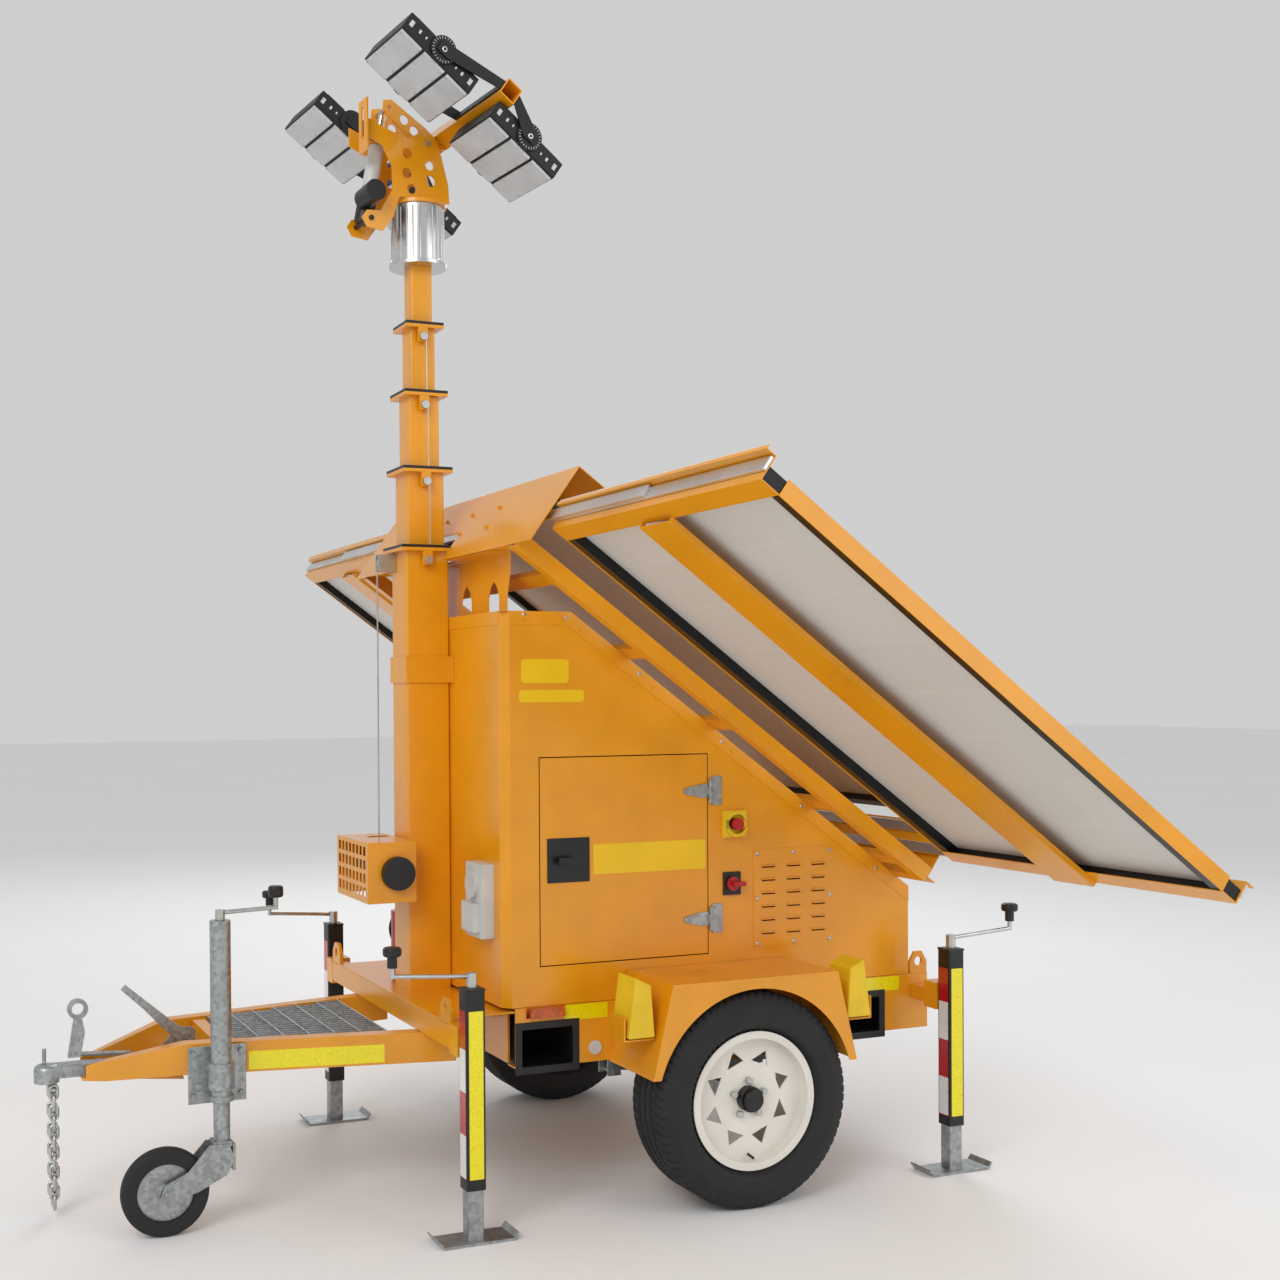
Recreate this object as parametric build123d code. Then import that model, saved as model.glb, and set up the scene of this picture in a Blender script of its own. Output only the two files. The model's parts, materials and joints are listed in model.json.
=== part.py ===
"""Solar lighting tower trailer: every welded, bolted or moving piece as its own solid.

Working frame while modelling: X runs rearward from the axle, Y to the trailer's right-hand side,
Z up from the ground. Everything is moved along X at the end so that the origin lies on the ground
under the middle of the whole machine.
"""
from math import atan2, cos, degrees, radians, sin, tan
import os

from build123d import *

# ---------------------------------------------------------------- driving dimensions, mm
sheet = 3.0                      # cabinet sheet
gap = 1.0                        # general clearance between pieces that slide or swing
seat = 0.3                       # clearance under curved faces on different bodies

# running gear
tyre_radius = 323.0
tyre_width = 205.0
rim_flange_radius = 206.0
wheel_outer_y = 770.0            # outer face of the tyre
hub_radius = 38.0
stud_circle = 54.0               # radius of the five-stud pattern
axle_square = 45.0
spring_half_length = 330.0
spring_y = 462.0

# chassis
chassis_half_width = 494.0
chassis_bottom_z = 421.0
chassis_top_z = 600.0
chassis_front_x = -656.0
chassis_rear_x = 828.0
channel_flange = 60.0
channel_wall = 5.0

# fork pockets
pocket_x = 553.0                 # each pocket's distance from the axle
pocket_width = 165.0             # clear opening
pocket_height = 110.0
pocket_wall = 5.0
pocket_bottom_z = 425.0
pocket_frame_rim = 22.0

# front platform and outrigger beams
beam_front_x = -895.0
beam_depth = 50.0
beam_bottom_z = 521.0
beam_top_z = 587.0
beam_half_length = 573.0
deck_thickness = 5.0
lug_thickness = 12.0
lug_height = 72.0
lug_hole_radius = 15.0

# drawbar
drawbar_rear_half = 345.0
drawbar_bend_half = 200.0
drawbar_nose_half = 55.0
drawbar_bend_x = -1570.0
drawbar_nose_x = -1850.0
drawbar_top_z = 518.0
drawbar_bottom_z = 427.0
drawbar_rail_width = 50.0
drawbar_nose_top_z = 446.0
drawbar_nose_bottom_z = 404.0
grating_front_x = -1432.0
grating_rear_x = -975.0
grating_depth = 25.0
grating_bars = 7

# coupling
coupling_nose_x = -1982.0
coupling_rear_x = -1679.0
coupling_half_width = 32.0
ball_radius = 25.0
ball_clearance = 0.5
ball_z = 424.0

# jockey wheel
jockey_x = -1490.0
jockey_y = -290.0
jockey_tube_radius = 30.0
jockey_tube_wall = 3.5
jockey_tube_bottom_z = 368.0
jockey_tube_top_z = 880.0
jockey_inner_radius = 24.0
jockey_wheel_radius = 125.0
jockey_wheel_width = 48.0
jockey_trail = 165.0
jockey_pivot_z = 440.0
jockey_travel = 110.0

# jacks
jack_front_x = -862.0
jack_rear_x = 787.0
jack_y = 662.0
jack_tube = 58.0
jack_wall = 4.0
jack_leg = 48.0
jack_tube_bottom_z = 146.0
jack_tube_top_z = 703.0
jack_leg_top_z = 520.0
jack_travel = 130.0
jack_foot_length = 242.0
jack_foot_width = 100.0
jack_foot_plate = 8.0
crank_length = 235.0
crank_rod = 6.5
crank_hub_height = 38.0
knob_radius = 26.0

# cabinet
body_half_width = 491.0
body_front_x = -691.0
body_rear_x = 755.0
body_bottom_z = 601.0
body_top_z = 1772.0
corner_chamfer = 25.0
door_x0 = -574.0
door_x1 = 2.0
door_z0 = 717.0
door_z1 = 1341.0
door_gap = 3.0
door_return = 22.0
louvre_x0 = 163.0
louvre_x1 = 459.0
louvre_z0 = 724.0
louvre_z1 = 1035.0
flange_drop = 38.0               # cover flange down the cabinet side

# solar array, in a frame on the panel slope: s down the slope, n square to it
slope_angle = 35.9
slope_top_x = -667.5
slope_top_z = 1984.5
panel_length = 1675.0            # along the slope, frame included
wing_width = 1048.0
wing_inner_y = 792.0
cover_drop = 55.0                # cabinet slope below the wings' underside
wing_pitch = 76.0                # right-hand wing above the left-hand one
wing_depth = 74.0
wing_web = 3.0
wing_flange = 56.0
slide_low = 22.0                 # slide's lower edge above the wing's underside
slide_height = 36.0
slide_thickness = 9.0
slide_gap = 0.5
panel_thickness = 35.0
panel_frame_width = 32.0
laminate_thickness = 5.0
brace_width = 150.0
brace_depth = 17.0
brace_start = 48.0                # clear of the ridge bracket when the wing slides in
slide_ratio = 0.6                # middle slide member's travel over the wing's
tray_half_width = 680.0
tray_rail_width = 40.0
tray_rail_depth = 50.0
tray_top_n = -20.0
tie_depth = 30.0
ridge_half_length = 780.0
ridge_plate = 3.0
ridge_low_n = -60.0
bracket_x = -648.0               # ridge bracket's front face
ridge_top_n = 199.0
centre_panel_n = 164.0
centre_panel_width = 992.0
centre_panel_thickness = 30.0

# mast
mast_widths = [142.0, 122.0, 101.0, 83.0, 71.0]
mast_wall = 4.0
mast_tops = [1993.0, 2242.0, 2485.0, 2702.0, 2891.0]
mast_foot_gap = 14.0             # step between the feet of neighbouring sections
mast_flange = 26.0               # flange ledge beyond the section
mast_flange_thickness = 10.0
drum_radius = 84.0
drum_flange_radius = 92.0
drum_height = 202.0
drum_flange = 12.0

# lamp head
head_yaw = 6.5                   # head turned on the mast, degrees
lamp_centre_x = -22.6            # lamp group centre from the mast axis, before the turn
lamp_centre_z = 3257.0
lamp_tilt = 35.4
lamp_pitch_down = 352.0
lamp_pitch_across = 647.0
lamp_across = 261.0
lamp_long = 267.0
lamp_depth = 62.0
tilt_pin_x = 7.0
tilt_pin_z = 3273.0
actuator_top = (-120.0, 3373.0)
actuator_base = (-191.0, 3013.0)
head_plate_y = 55.0
head_plate = 6.0
tilt_pin_radius = 9.0
pin_clearance = 0.05

# ---------------------------------------------------------------- worked-out places
mast_x = body_front_x - mast_widths[0] / 2 - 2
deck_top_z = beam_top_z + deck_thickness
wheel_y = wheel_outer_y - tyre_width / 2
slope_sin = sin(radians(slope_angle))
slope_cos = cos(radians(slope_angle))
mast_foot_z = deck_top_z
side_y = -body_half_width
wing_travel = wing_inner_y + wing_width / 2


def block(x0, x1, y0, y1, z0, z1):
    """Box between two corners."""
    centre = Pos((x0 + x1) / 2, (y0 + y1) / 2, (z0 + z1) / 2)
    return centre * Box(abs(x1 - x0), abs(y1 - y0), abs(z1 - z0))


def rod(a, b, radius):
    """Round bar from point a to point b."""
    run = Vector(*b) - Vector(*a)
    return Plane(origin=a, z_dir=run) * Pos(0, 0, run.length / 2) * Cylinder(radius, run.length)


def pipe(a, b, radius, bore):
    """Round tube from point a to point b."""
    run = Vector(*b) - Vector(*a)
    ring = Cylinder(radius, run.length) - Cylinder(bore, run.length)
    return Plane(origin=a, z_dir=run) * Pos(0, 0, run.length / 2) * ring


def plate_xz(points, y0, y1):
    """Flat plate from an outline in X and Z, between two Y values."""
    face = make_face(Polyline(*[(x, z) for x, z in points], close=True))
    return Plane(origin=(0, y1, 0), x_dir=(1, 0, 0), z_dir=(0, -1, 0)) * extrude(face, y1 - y0)


def plate_xy(points, z0, z1):
    """Flat plate from an outline in X and Y, between two heights."""
    return Pos(0, 0, z0) * extrude(make_face(Polyline(*points, close=True)), z1 - z0)


def square_tube(x, y, z0, z1, width, wall):
    """Upright square tube with rounded corners."""
    outer = RectangleRounded(width, width, min(6.0, width / 8))
    inner = Rectangle(width - 2 * wall, width - 2 * wall)
    return Pos(x, y, z0) * extrude(outer - inner, z1 - z0)


def group(items):
    """All the solids of several shapes, kept as separate pieces."""
    return Compound([solid for item in items for solid in item.solids()])


def both_sides(shape):
    """A shape and its mirror image across the trailer's centre plane."""
    return [shape, mirror(shape, about=Plane.XZ)]


def mirrored(shape):
    """The mirror image across the trailer's centre plane."""
    return mirror(shape, about=Plane.XZ)


slope_plane = Plane(
    origin=(slope_top_x, 0, slope_top_z),
    x_dir=(slope_cos, 0, -slope_sin),
    z_dir=(slope_sin, 0, slope_cos),
)


def on_slope(shape):
    """Places a shape built in slope coordinates (s, y, n)."""
    return slope_plane * shape


def slope_point(s, y, n):
    """Working-frame point for slope coordinates."""
    return Vector(
        slope_top_x + s * slope_cos + n * slope_sin,
        y,
        slope_top_z - s * slope_sin + n * slope_cos,
    )


def cover_line_z(x, n=-cover_drop):
    """Height of the slope plane at offset n, at a given X."""
    return slope_top_z - (x - slope_top_x) * slope_sin / slope_cos + n / slope_cos


def cover_line_x(z, n=-cover_drop):
    """X of the slope plane at offset n, at a given height."""
    return slope_top_x + (slope_top_z - z + n / slope_cos) * slope_cos / slope_sin


# ---------------------------------------------------------------- chassis
def chassis_frame():
    """Two side channels cut for the fork pockets, with end plates and two cross tubes."""
    inner = chassis_half_width - channel_flange
    web = block(
        chassis_front_x, chassis_rear_x, chassis_half_width - channel_wall, chassis_half_width,
        chassis_bottom_z, chassis_top_z,
    )
    top = block(
        chassis_front_x, chassis_rear_x, inner, chassis_half_width,
        chassis_top_z - channel_wall, chassis_top_z,
    )
    bottom = block(
        chassis_front_x, chassis_rear_x, inner, chassis_half_width,
        chassis_bottom_z, chassis_bottom_z + channel_wall,
    )
    rail = web + top + bottom
    notch_half = pocket_width / 2 + pocket_wall
    notch_top = pocket_bottom_z + pocket_height + pocket_wall
    for x in (-pocket_x, pocket_x):
        rail -= block(
            x - notch_half, x + notch_half, inner - 1, chassis_half_width + 1,
            chassis_bottom_z - 1, notch_top,
        )
    clear = chassis_half_width - channel_wall
    low = chassis_bottom_z + channel_wall
    high = chassis_top_z - channel_wall
    ends = [
        block(chassis_front_x, chassis_front_x + 8, -inner, inner, low, high),
        block(chassis_rear_x - 8, chassis_rear_x, -inner, inner, low, high),
    ]
    cross = [
        block(x - 30, x + 30, -clear, clear, high - 50, high)
        for x in (-spring_half_length - 40, spring_half_length + 40)
    ]
    return group(both_sides(rail) + ends + cross)


def fork_pockets():
    """Two box tubes across the chassis, each with a black rim plate at both ends."""
    half = pocket_width / 2
    top = pocket_bottom_z + pocket_height
    end = chassis_half_width
    items = []
    for x in (-pocket_x, pocket_x):
        outer = block(
            x - half - pocket_wall, x + half + pocket_wall, -end, end,
            pocket_bottom_z - pocket_wall, top + pocket_wall,
        )
        bore = block(x - half, x + half, -end - 1, end + 1, pocket_bottom_z, top)
        items.append(outer - bore)
        rim = block(
            x - half - pocket_frame_rim, x + half + pocket_frame_rim, end, end + 3,
            pocket_bottom_z - pocket_frame_rim, top + pocket_frame_rim,
        )
        rim -= block(x - half, x + half, end - 1, end + 4, pocket_bottom_z, top)
        items += both_sides(rim)
    return group(items)


def tie_lug(width):
    """Upright lashing lug with rounded shoulders and one hole."""
    lug = plate_xz(
        [(0, 0), (width, 0), (width, lug_height * 0.55), (width * 0.72, lug_height),
         (width * 0.28, lug_height), (0, lug_height * 0.55)], 0, lug_thickness,
    )
    height = lug_height * 0.55
    middle = width / 2
    return lug - rod((middle, -1, height), (middle, lug_thickness + 1, height), lug_hole_radius)


def outrigger_beams():
    """Front and rear channels that carry the jacks, the front deck plate and the tie-down lugs."""
    items = []
    wall = channel_wall
    front = block(
        beam_front_x, beam_front_x + beam_depth, -beam_half_length, beam_half_length,
        beam_bottom_z, beam_top_z,
    )
    front -= block(
        beam_front_x + wall, beam_front_x + beam_depth + 1, -beam_half_length - 1,
        beam_half_length + 1, beam_bottom_z + wall, beam_top_z - wall,
    )
    items.append(front)
    items.append(
        block(
            beam_front_x, chassis_front_x, -chassis_half_width, chassis_half_width,
            beam_top_z, deck_top_z,
        )
    )
    for x in (beam_front_x + beam_depth + 60, chassis_front_x - 60):
        items.append(block(x, x + 40, -drawbar_rear_half + 60, drawbar_rear_half - 60,
                           beam_bottom_z + 12, beam_top_z))
    stub_x = jack_rear_x - beam_depth / 2
    stub = block(
        stub_x, stub_x + beam_depth, chassis_half_width, beam_half_length,
        beam_bottom_z, beam_top_z - 20,
    )
    items += both_sides(stub)
    for x in (jack_front_x, jack_rear_x):
        pad_low = beam_bottom_z - 12
        pad = block(
            x - 34, x + 34, beam_half_length, jack_y - jack_tube / 2, pad_low, beam_top_z + 8
        )
        items += both_sides(pad)
    turned = Rot(0, 0, 90) * tie_lug(86)
    front_lug = Pos(beam_front_x + lug_thickness + 2, beam_half_length - 86, beam_top_z) * turned
    items += both_sides(front_lug)
    rear_lug = Pos(chassis_rear_x - 68, chassis_half_width - lug_thickness, chassis_top_z) * tie_lug(66)
    items += both_sides(rear_lug)
    return group(items)


def drawbar_rails():
    """Two rails that run forward, bend inward and taper to the coupling seat."""
    rear_x = beam_front_x + beam_depth + 60
    w = drawbar_rail_width
    outline = [
        (rear_x, drawbar_rear_half), (drawbar_bend_x, drawbar_bend_half),
        (drawbar_nose_x, drawbar_nose_half), (drawbar_nose_x, drawbar_nose_half - 30),
        (drawbar_bend_x, drawbar_bend_half - w), (rear_x, drawbar_rear_half - w),
    ]
    rail = plate_xy(outline, drawbar_nose_bottom_z, drawbar_top_z)
    slope_cut = plate_xz(
        [(drawbar_bend_x, drawbar_top_z), (drawbar_nose_x - 1, drawbar_nose_top_z),
         (drawbar_nose_x - 1, drawbar_top_z + 1), (drawbar_bend_x, drawbar_top_z + 1)],
        0, drawbar_rear_half,
    )
    under_cut = plate_xz(
        [(rear_x + 1, drawbar_bottom_z), (drawbar_bend_x, drawbar_bottom_z),
         (drawbar_nose_x + 60, drawbar_nose_bottom_z), (drawbar_nose_x + 60, drawbar_nose_bottom_z - 1),
         (rear_x + 1, drawbar_nose_bottom_z - 1)],
        0, drawbar_rear_half + 1,
    )
    beam_notch = block(
        beam_front_x - gap, rear_x + 1, 0, drawbar_rear_half + 1, beam_bottom_z, drawbar_top_z + 1
    )
    coupling_seat = block(drawbar_nose_x - 1, drawbar_nose_x + 70, 0, 60,
                          drawbar_nose_bottom_z + 8, drawbar_top_z)
    rail = rail - slope_cut - under_cut - beam_notch - coupling_seat
    seat_plate = plate_xy(
        [(drawbar_nose_x, -drawbar_nose_half + 30), (drawbar_nose_x, drawbar_nose_half - 30),
         (drawbar_bend_x, drawbar_bend_half - w), (drawbar_bend_x, -drawbar_bend_half + w)],
        drawbar_nose_bottom_z, drawbar_nose_bottom_z + 8,
    )
    cross = block(
        grating_front_x - 50, grating_front_x - 10, -150, 150,
        drawbar_top_z - 70, drawbar_top_z - 6,
    )
    return group(both_sides(rail) + [seat_plate, cross])


def drawbar_inner_half(x):
    """Half the clear width between the drawbar rails at a given X."""
    rear_x = beam_front_x + beam_depth + 60
    share = (rear_x - x) / (rear_x - drawbar_bend_x)
    outer = drawbar_rear_half + share * (drawbar_bend_half - drawbar_rear_half)
    return outer - drawbar_rail_width


def drawbar_grating():
    """Galvanised step grating between the rails: edge bars, cross bars and a thin mesh deck."""
    top = drawbar_top_z
    low = top - grating_depth
    clear = 2.0
    front = drawbar_inner_half(grating_front_x) - clear
    rear = drawbar_inner_half(grating_rear_x) - clear
    deck = plate_xy(
        [(grating_front_x, -front), (grating_front_x, front), (grating_rear_x, rear),
         (grating_rear_x, -rear)], low, low + 4,
    )
    items = [deck]
    step = (grating_rear_x - grating_front_x - 5) / (grating_bars - 1)
    for i in range(grating_bars):
        x = grating_front_x + i * step
        half = drawbar_inner_half(x) - clear - 1
        items.append(block(x, x + 5, -half, half, low + 4, top))
    return group(items)


def axle_and_springs():
    """Square axle with hub stubs, two leaf packs, hangers, U-bolts."""
    z = tyre_radius
    half = axle_square / 2
    beam_end = wheel_y - 60
    axle = block(-half, half, -beam_end, beam_end, z - half, z + half)
    items = [axle]
    for side in (1, -1):
        stub = rod((0, side * beam_end, z), (0, side * (wheel_outer_y - 40), z), 19)
        items.append(stub)
    leaves = 4
    leaf = 8.0
    centre_z = z + half + 1
    eye_z = chassis_bottom_z - 26
    for i in range(leaves):
        share = 1 - 0.2 * i
        reach = spring_half_length * share
        rise = (eye_z - centre_z - leaves * leaf) * share ** 2
        low = centre_z + (leaves - 1 - i) * leaf
        arc = Spline((-reach, low + rise), (0, low), (reach, low + rise))
        upper = Spline((reach, low + rise + leaf - 0.2), (0, low + leaf - 0.2),
                       (-reach, low + rise + leaf - 0.2))
        ends = [Line((reach, low + rise), (reach, low + rise + leaf - 0.2)),
                Line((-reach, low + rise + leaf - 0.2), (-reach, low + rise))]
        face = make_face([arc, ends[0], upper, ends[1]])
        strip = Plane(origin=(0, spring_y + 25, 0), x_dir=(1, 0, 0), z_dir=(0, -1, 0)) * extrude(face, 50)
        items += both_sides(strip)
    for x in (-spring_half_length, spring_half_length):
        hanger = block(x - 22, x + 22, spring_y + 27, spring_y + 32, eye_z - 24, chassis_bottom_z)
        inner = block(x - 22, x + 22, spring_y - 32, spring_y - 27, eye_z - 24, chassis_bottom_z)
        bolt = rod((x, spring_y - 38, eye_z - 14), (x, spring_y + 38, eye_z - 14), 7)
        items += both_sides(hanger + inner + bolt)
    clamp_z = centre_z + leaves * leaf + 2
    clamp = block(-45, 45, spring_y - 34, spring_y + 34, clamp_z, clamp_z + 10)
    for x in (-32, 32):
        for y in (spring_y - 29, spring_y + 29):
            clamp += rod((x, y, z - half - 22), (x, y, clamp_z + 24), 5)
    under = block(-45, 45, spring_y - 34, spring_y + 34, z - half - 12, z - half - 2)
    items += both_sides(clamp + under)
    return group(items)


def wheel(side):
    """Steel rim with eight triangular holes, tyre, five nuts, valve and grease cap."""
    face = side * wheel_outer_y
    z = tyre_radius
    depth = tyre_width

    def ring(y0, y1, r0, r1):
        return pipe((0, side * y0, z), (0, side * y1, z), r1, r0)

    half = depth / 2
    profile = [
        (-half + 22, rim_flange_radius + 1), (-half + 6, rim_flange_radius + 16),
        (-half, tyre_radius - 62), (-half + 10, tyre_radius - 18), (-half + 26, tyre_radius - 3),
        (-half + 45, tyre_radius), (half - 45, tyre_radius), (half - 26, tyre_radius - 3),
        (half - 10, tyre_radius - 18), (half, tyre_radius - 62), (half - 6, rim_flange_radius + 16),
        (half - 22, rim_flange_radius + 1), (half - 30, rim_flange_radius + 18),
        (half - 34, tyre_radius - 26), (-half + 34, tyre_radius - 26),
        (-half + 30, rim_flange_radius + 18),
    ]
    face_2d = make_face(Polyline(*[(r, u) for u, r in profile], close=True))
    tyre = revolve(Plane.XY * face_2d, Axis.Y)
    tyre = Pos(0, side * wheel_y, z) * tyre
    barrel = ring(wheel_outer_y - depth + 20, wheel_outer_y - 20, rim_flange_radius - 22,
                  rim_flange_radius - 18)
    lips = ring(wheel_outer_y - depth + 17, wheel_outer_y - depth + 22, rim_flange_radius - 22,
                rim_flange_radius)
    lips += ring(wheel_outer_y - 22, wheel_outer_y - 17, rim_flange_radius - 22, rim_flange_radius)
    disc_y = wheel_outer_y - 62
    disc = ring(disc_y, disc_y + 5, hub_radius, rim_flange_radius - 19)
    for i in range(8):
        angle = radians(45 * i + 22.5)
        hole = [(150, -8), (108, -30), (108, 30)]
        spun = [
            (u * cos(angle) - v * sin(angle), u * sin(angle) + v * cos(angle)) for u, v in hole
        ]
        cut = plate_xz([(u, v + z) for u, v in spun], min(side * (disc_y - 3), side * (disc_y + 8)),
                       max(side * (disc_y - 3), side * (disc_y + 8)))
        disc -= cut
    rim = barrel + lips + disc
    nuts = []
    for i in range(5):
        angle = radians(90 + 72 * i)
        x = stud_circle * cos(angle)
        nz = z + stud_circle * sin(angle)
        nuts.append(rod((x, side * (disc_y + 5), nz), (x, side * (disc_y + 22), nz), 10))
    hub = pipe((0, side * (wheel_y - 58), z), (0, side * (disc_y + 32), z), hub_radius, 20)
    cap = rod((0, side * (disc_y + 32.2), z), (0, side * (disc_y + 44), z), hub_radius - 6)
    valve = rod((0, side * (disc_y + 6), z - 168), (0, side * (disc_y + 34), z - 172), 4)
    return group([tyre, rim, hub, cap, valve] + nuts)


def mudguard():
    """One side's folded mudguard: top, sloping ends and an outer skirt with a round arch."""
    y0 = chassis_half_width
    y1 = wheel_outer_y + 2
    top = 690.0
    top_half = 282.0
    low = 418.0
    low_half = 348.0
    t = 3.0
    outline = [
        (-low_half, low), (-top_half, top), (top_half, top), (low_half, low),
        (low_half - t, low), (top_half - t * 0.8, top - t), (-top_half + t * 0.8, top - t),
        (-low_half + t, low),
    ]
    band = plate_xz(outline, y0, y1)
    skirt = plate_xz([(-low_half, low), (-top_half, top), (top_half, top), (low_half, low)],
                     y1 - t, y1)
    arch = rod((0, y1 - t - 1, tyre_radius), (0, y1 + 1, tyre_radius), tyre_radius + 12)
    return band + (skirt - arch)


def chock_set(x, side):
    """A moulded wheel chock in its folded cradle on the end of a mudguard."""
    y0 = wheel_outer_y - 130
    y1 = wheel_outer_y - 20
    lean = 1 if x > 0 else -1
    z0 = 540.0
    body = plate_xz(
        [(x, z0), (x + lean * 85, z0), (x + lean * 62, z0 + 175), (x + lean * 12, z0 + 150)],
        y0, y1,
    )
    cradle = plate_xz(
        [(x - lean * 4, z0 - 10), (x + lean * 95, z0 - 10), (x + lean * 95, z0 + 60),
         (x + lean * 89, z0 + 60), (x + lean * 89, z0 - 4), (x - lean * 4, z0 - 4)],
        y0 + 10, y1 - 10,
    )
    if side < 0:
        body = mirrored(body)
        cradle = mirrored(cradle)
    return [body, cradle]


# ---------------------------------------------------------------- cabinet
def cabinet_outline(inset):
    """Cabinet side outline, moved inward by an inset."""
    return [
        (body_front_x + inset, body_bottom_z + inset),
        (body_rear_x - inset, body_bottom_z + inset),
        (body_rear_x - inset, cover_line_z(body_rear_x - inset, -cover_drop - inset)),
        (cover_line_x(body_top_z - inset, -cover_drop - inset), body_top_z - inset),
        (body_front_x + inset, body_top_z - inset),
    ]


def cabinet_shell():
    """Hollow sheet cabinet with chamfered front corners and a door opening."""
    outer = plate_xz(cabinet_outline(0), -body_half_width, body_half_width)
    corners = [
        e for e in outer.edges().filter_by(Axis.Z)
        if abs(e.center().X - body_front_x) < 0.1
    ]
    outer = chamfer(corners, corner_chamfer)
    inside = body_half_width - sheet
    inner = plate_xz(cabinet_outline(sheet), -inside, inside)
    inner_corners = [
        e for e in inner.edges().filter_by(Axis.Z)
        if abs(e.center().X - body_front_x - sheet) < 0.1
    ]
    inner = chamfer(inner_corners, corner_chamfer - sheet * 0.6)
    shell = outer - inner
    shell -= block(door_x0, door_x1, side_y - 1, side_y + sheet + 1, door_z0, door_z1)
    mirror_y = body_half_width
    for y in (side_y, mirror_y):
        shell -= block(louvre_x0 + 15, louvre_x1 - 15, y - 4, y + 4, louvre_z0 + 15, louvre_z1 - 15)
    return shell


def cabinet_cover():
    """Roof and slope sheet with folded side flanges, held by screws."""
    t = 2.0
    start = cover_line_x(body_top_z)
    y = body_half_width
    top_sheet = block(body_front_x - t, start + 2, -y, y, body_top_z, body_top_z + t)
    slope_len = (body_rear_x - start) / slope_cos
    s0 = (start - slope_top_x + cover_drop * slope_sin) / slope_cos
    slope_sheet = on_slope(block(s0, s0 + slope_len, -y, y, -cover_drop, -cover_drop + t))
    sheetwork = top_sheet + slope_sheet
    front_flange = block(
        body_front_x - t, body_front_x, -y + corner_chamfer, y - corner_chamfer,
        body_top_z - flange_drop, body_top_z,
    )
    sheetwork += front_flange
    upper = cabinet_outline(-t)
    lower_x = cover_line_x(body_top_z - flange_drop, -cover_drop - flange_drop)
    flange = plate_xz(
        [
            (body_front_x + corner_chamfer, body_top_z + t),
            upper[3],
            (body_rear_x, cover_line_z(body_rear_x, -cover_drop + t)),
            (body_rear_x, cover_line_z(body_rear_x, -cover_drop - flange_drop)),
            (lower_x, body_top_z - flange_drop),
            (body_front_x + corner_chamfer, body_top_z - flange_drop),
        ],
        y, y + t,
    )
    flanges = both_sides(flange)
    sheetwork = sheetwork + flanges[0] + flanges[1]
    screws = []
    for s in (s0 + 60, s0 + 360, s0 + 700, s0 + 1040, s0 + 1380):
        point = slope_point(s, 0, -cover_drop - flange_drop / 2)
        if point.X < body_rear_x - 10:
            screws.append(rod((point.X, y + t, point.Z), (point.X, y + t + 3, point.Z), 6))
    for x in (body_front_x + 75, body_front_x + 200):
        screws.append(rod((x, y + t, body_top_z - 19), (x, y + t + 3, body_top_z - 19), 6))
    pairs = []
    for screw in screws:
        pairs += both_sides(screw)
    return group([sheetwork] + pairs)


def louvre_panels():
    """Removable vent plates with pressed louvres, one on each side of the cabinet."""
    y = body_half_width
    plate = block(louvre_x0, louvre_x1, y, y + 2, louvre_z0, louvre_z1)
    columns = 3
    rows = 6
    pitch_x = 93.0
    pitch_z = 42.0
    mid_x = (louvre_x0 + louvre_x1) / 2
    mid_z = (louvre_z0 + louvre_z1) / 2 - 4
    for i in range(columns):
        for j in range(rows):
            x = mid_x + (i - (columns - 1) / 2) * pitch_x
            z = mid_z + (j - (rows - 1) / 2) * pitch_z
            plate -= block(x - 24, x + 24, y - 1, y + 3, z - 5, z + 1)
            hood = plate_xz([(x - 26, z), (x + 26, z), (x + 26, z + 4), (x - 26, z + 4)], y + 2, y + 8)
            plate += hood
    for x in (louvre_x0 + 9, mid_x, louvre_x1 - 9):
        for z in (louvre_z0 + 9, (louvre_z0 + louvre_z1) / 2, louvre_z1 - 9):
            if x != mid_x or z != (louvre_z0 + louvre_z1) / 2:
                plate += rod((x, y + 1.5, z), (x, y + 5, z), 5)
    return group(both_sides(plate))


hinge_x = door_x1 + 5
hinge_y = side_y - 7
hinge_zs = (door_z0 + 111, door_z1 - 116)


def cabinet_door():
    """Door skin with a folded return, its two strap hinges and their knuckles."""
    skin = block(door_x0 + door_gap, door_x1 - door_gap, side_y, side_y + 2,
                 door_z0 + door_gap, door_z1 - door_gap)
    inset = 6.0
    ring = block(door_x0 + inset, door_x1 - inset, side_y + 2, side_y + door_return,
                 door_z0 + inset, door_z1 - inset)
    ring -= block(door_x0 + inset + 2, door_x1 - inset - 2, side_y + 1, side_y + door_return + 1,
                  door_z0 + inset + 2, door_z1 - inset - 2)
    straps = []
    for z in hinge_zs:
        strap = plate_xz(
            [(hinge_x - 7, z - 22), (hinge_x - 7, z + 22), (hinge_x - 40, z + 20),
             (hinge_x - 92, z + 8), (hinge_x - 92, z - 8), (hinge_x - 40, z - 20)],
            side_y - 4, side_y,
        )
        knuckle = pipe((hinge_x, hinge_y, z - 12), (hinge_x, hinge_y, z + 12), 6, 3.05)
        web = block(hinge_x - 9, hinge_x - 3.5, hinge_y - 1, side_y, z - 12, z + 12)
        straps.append(strap + knuckle + web)
    lock_bed = block(door_x0 + 25, door_x0 + 165, side_y - 3, side_y, 965, 1098)
    return group([skin + ring, lock_bed] + straps)


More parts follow.
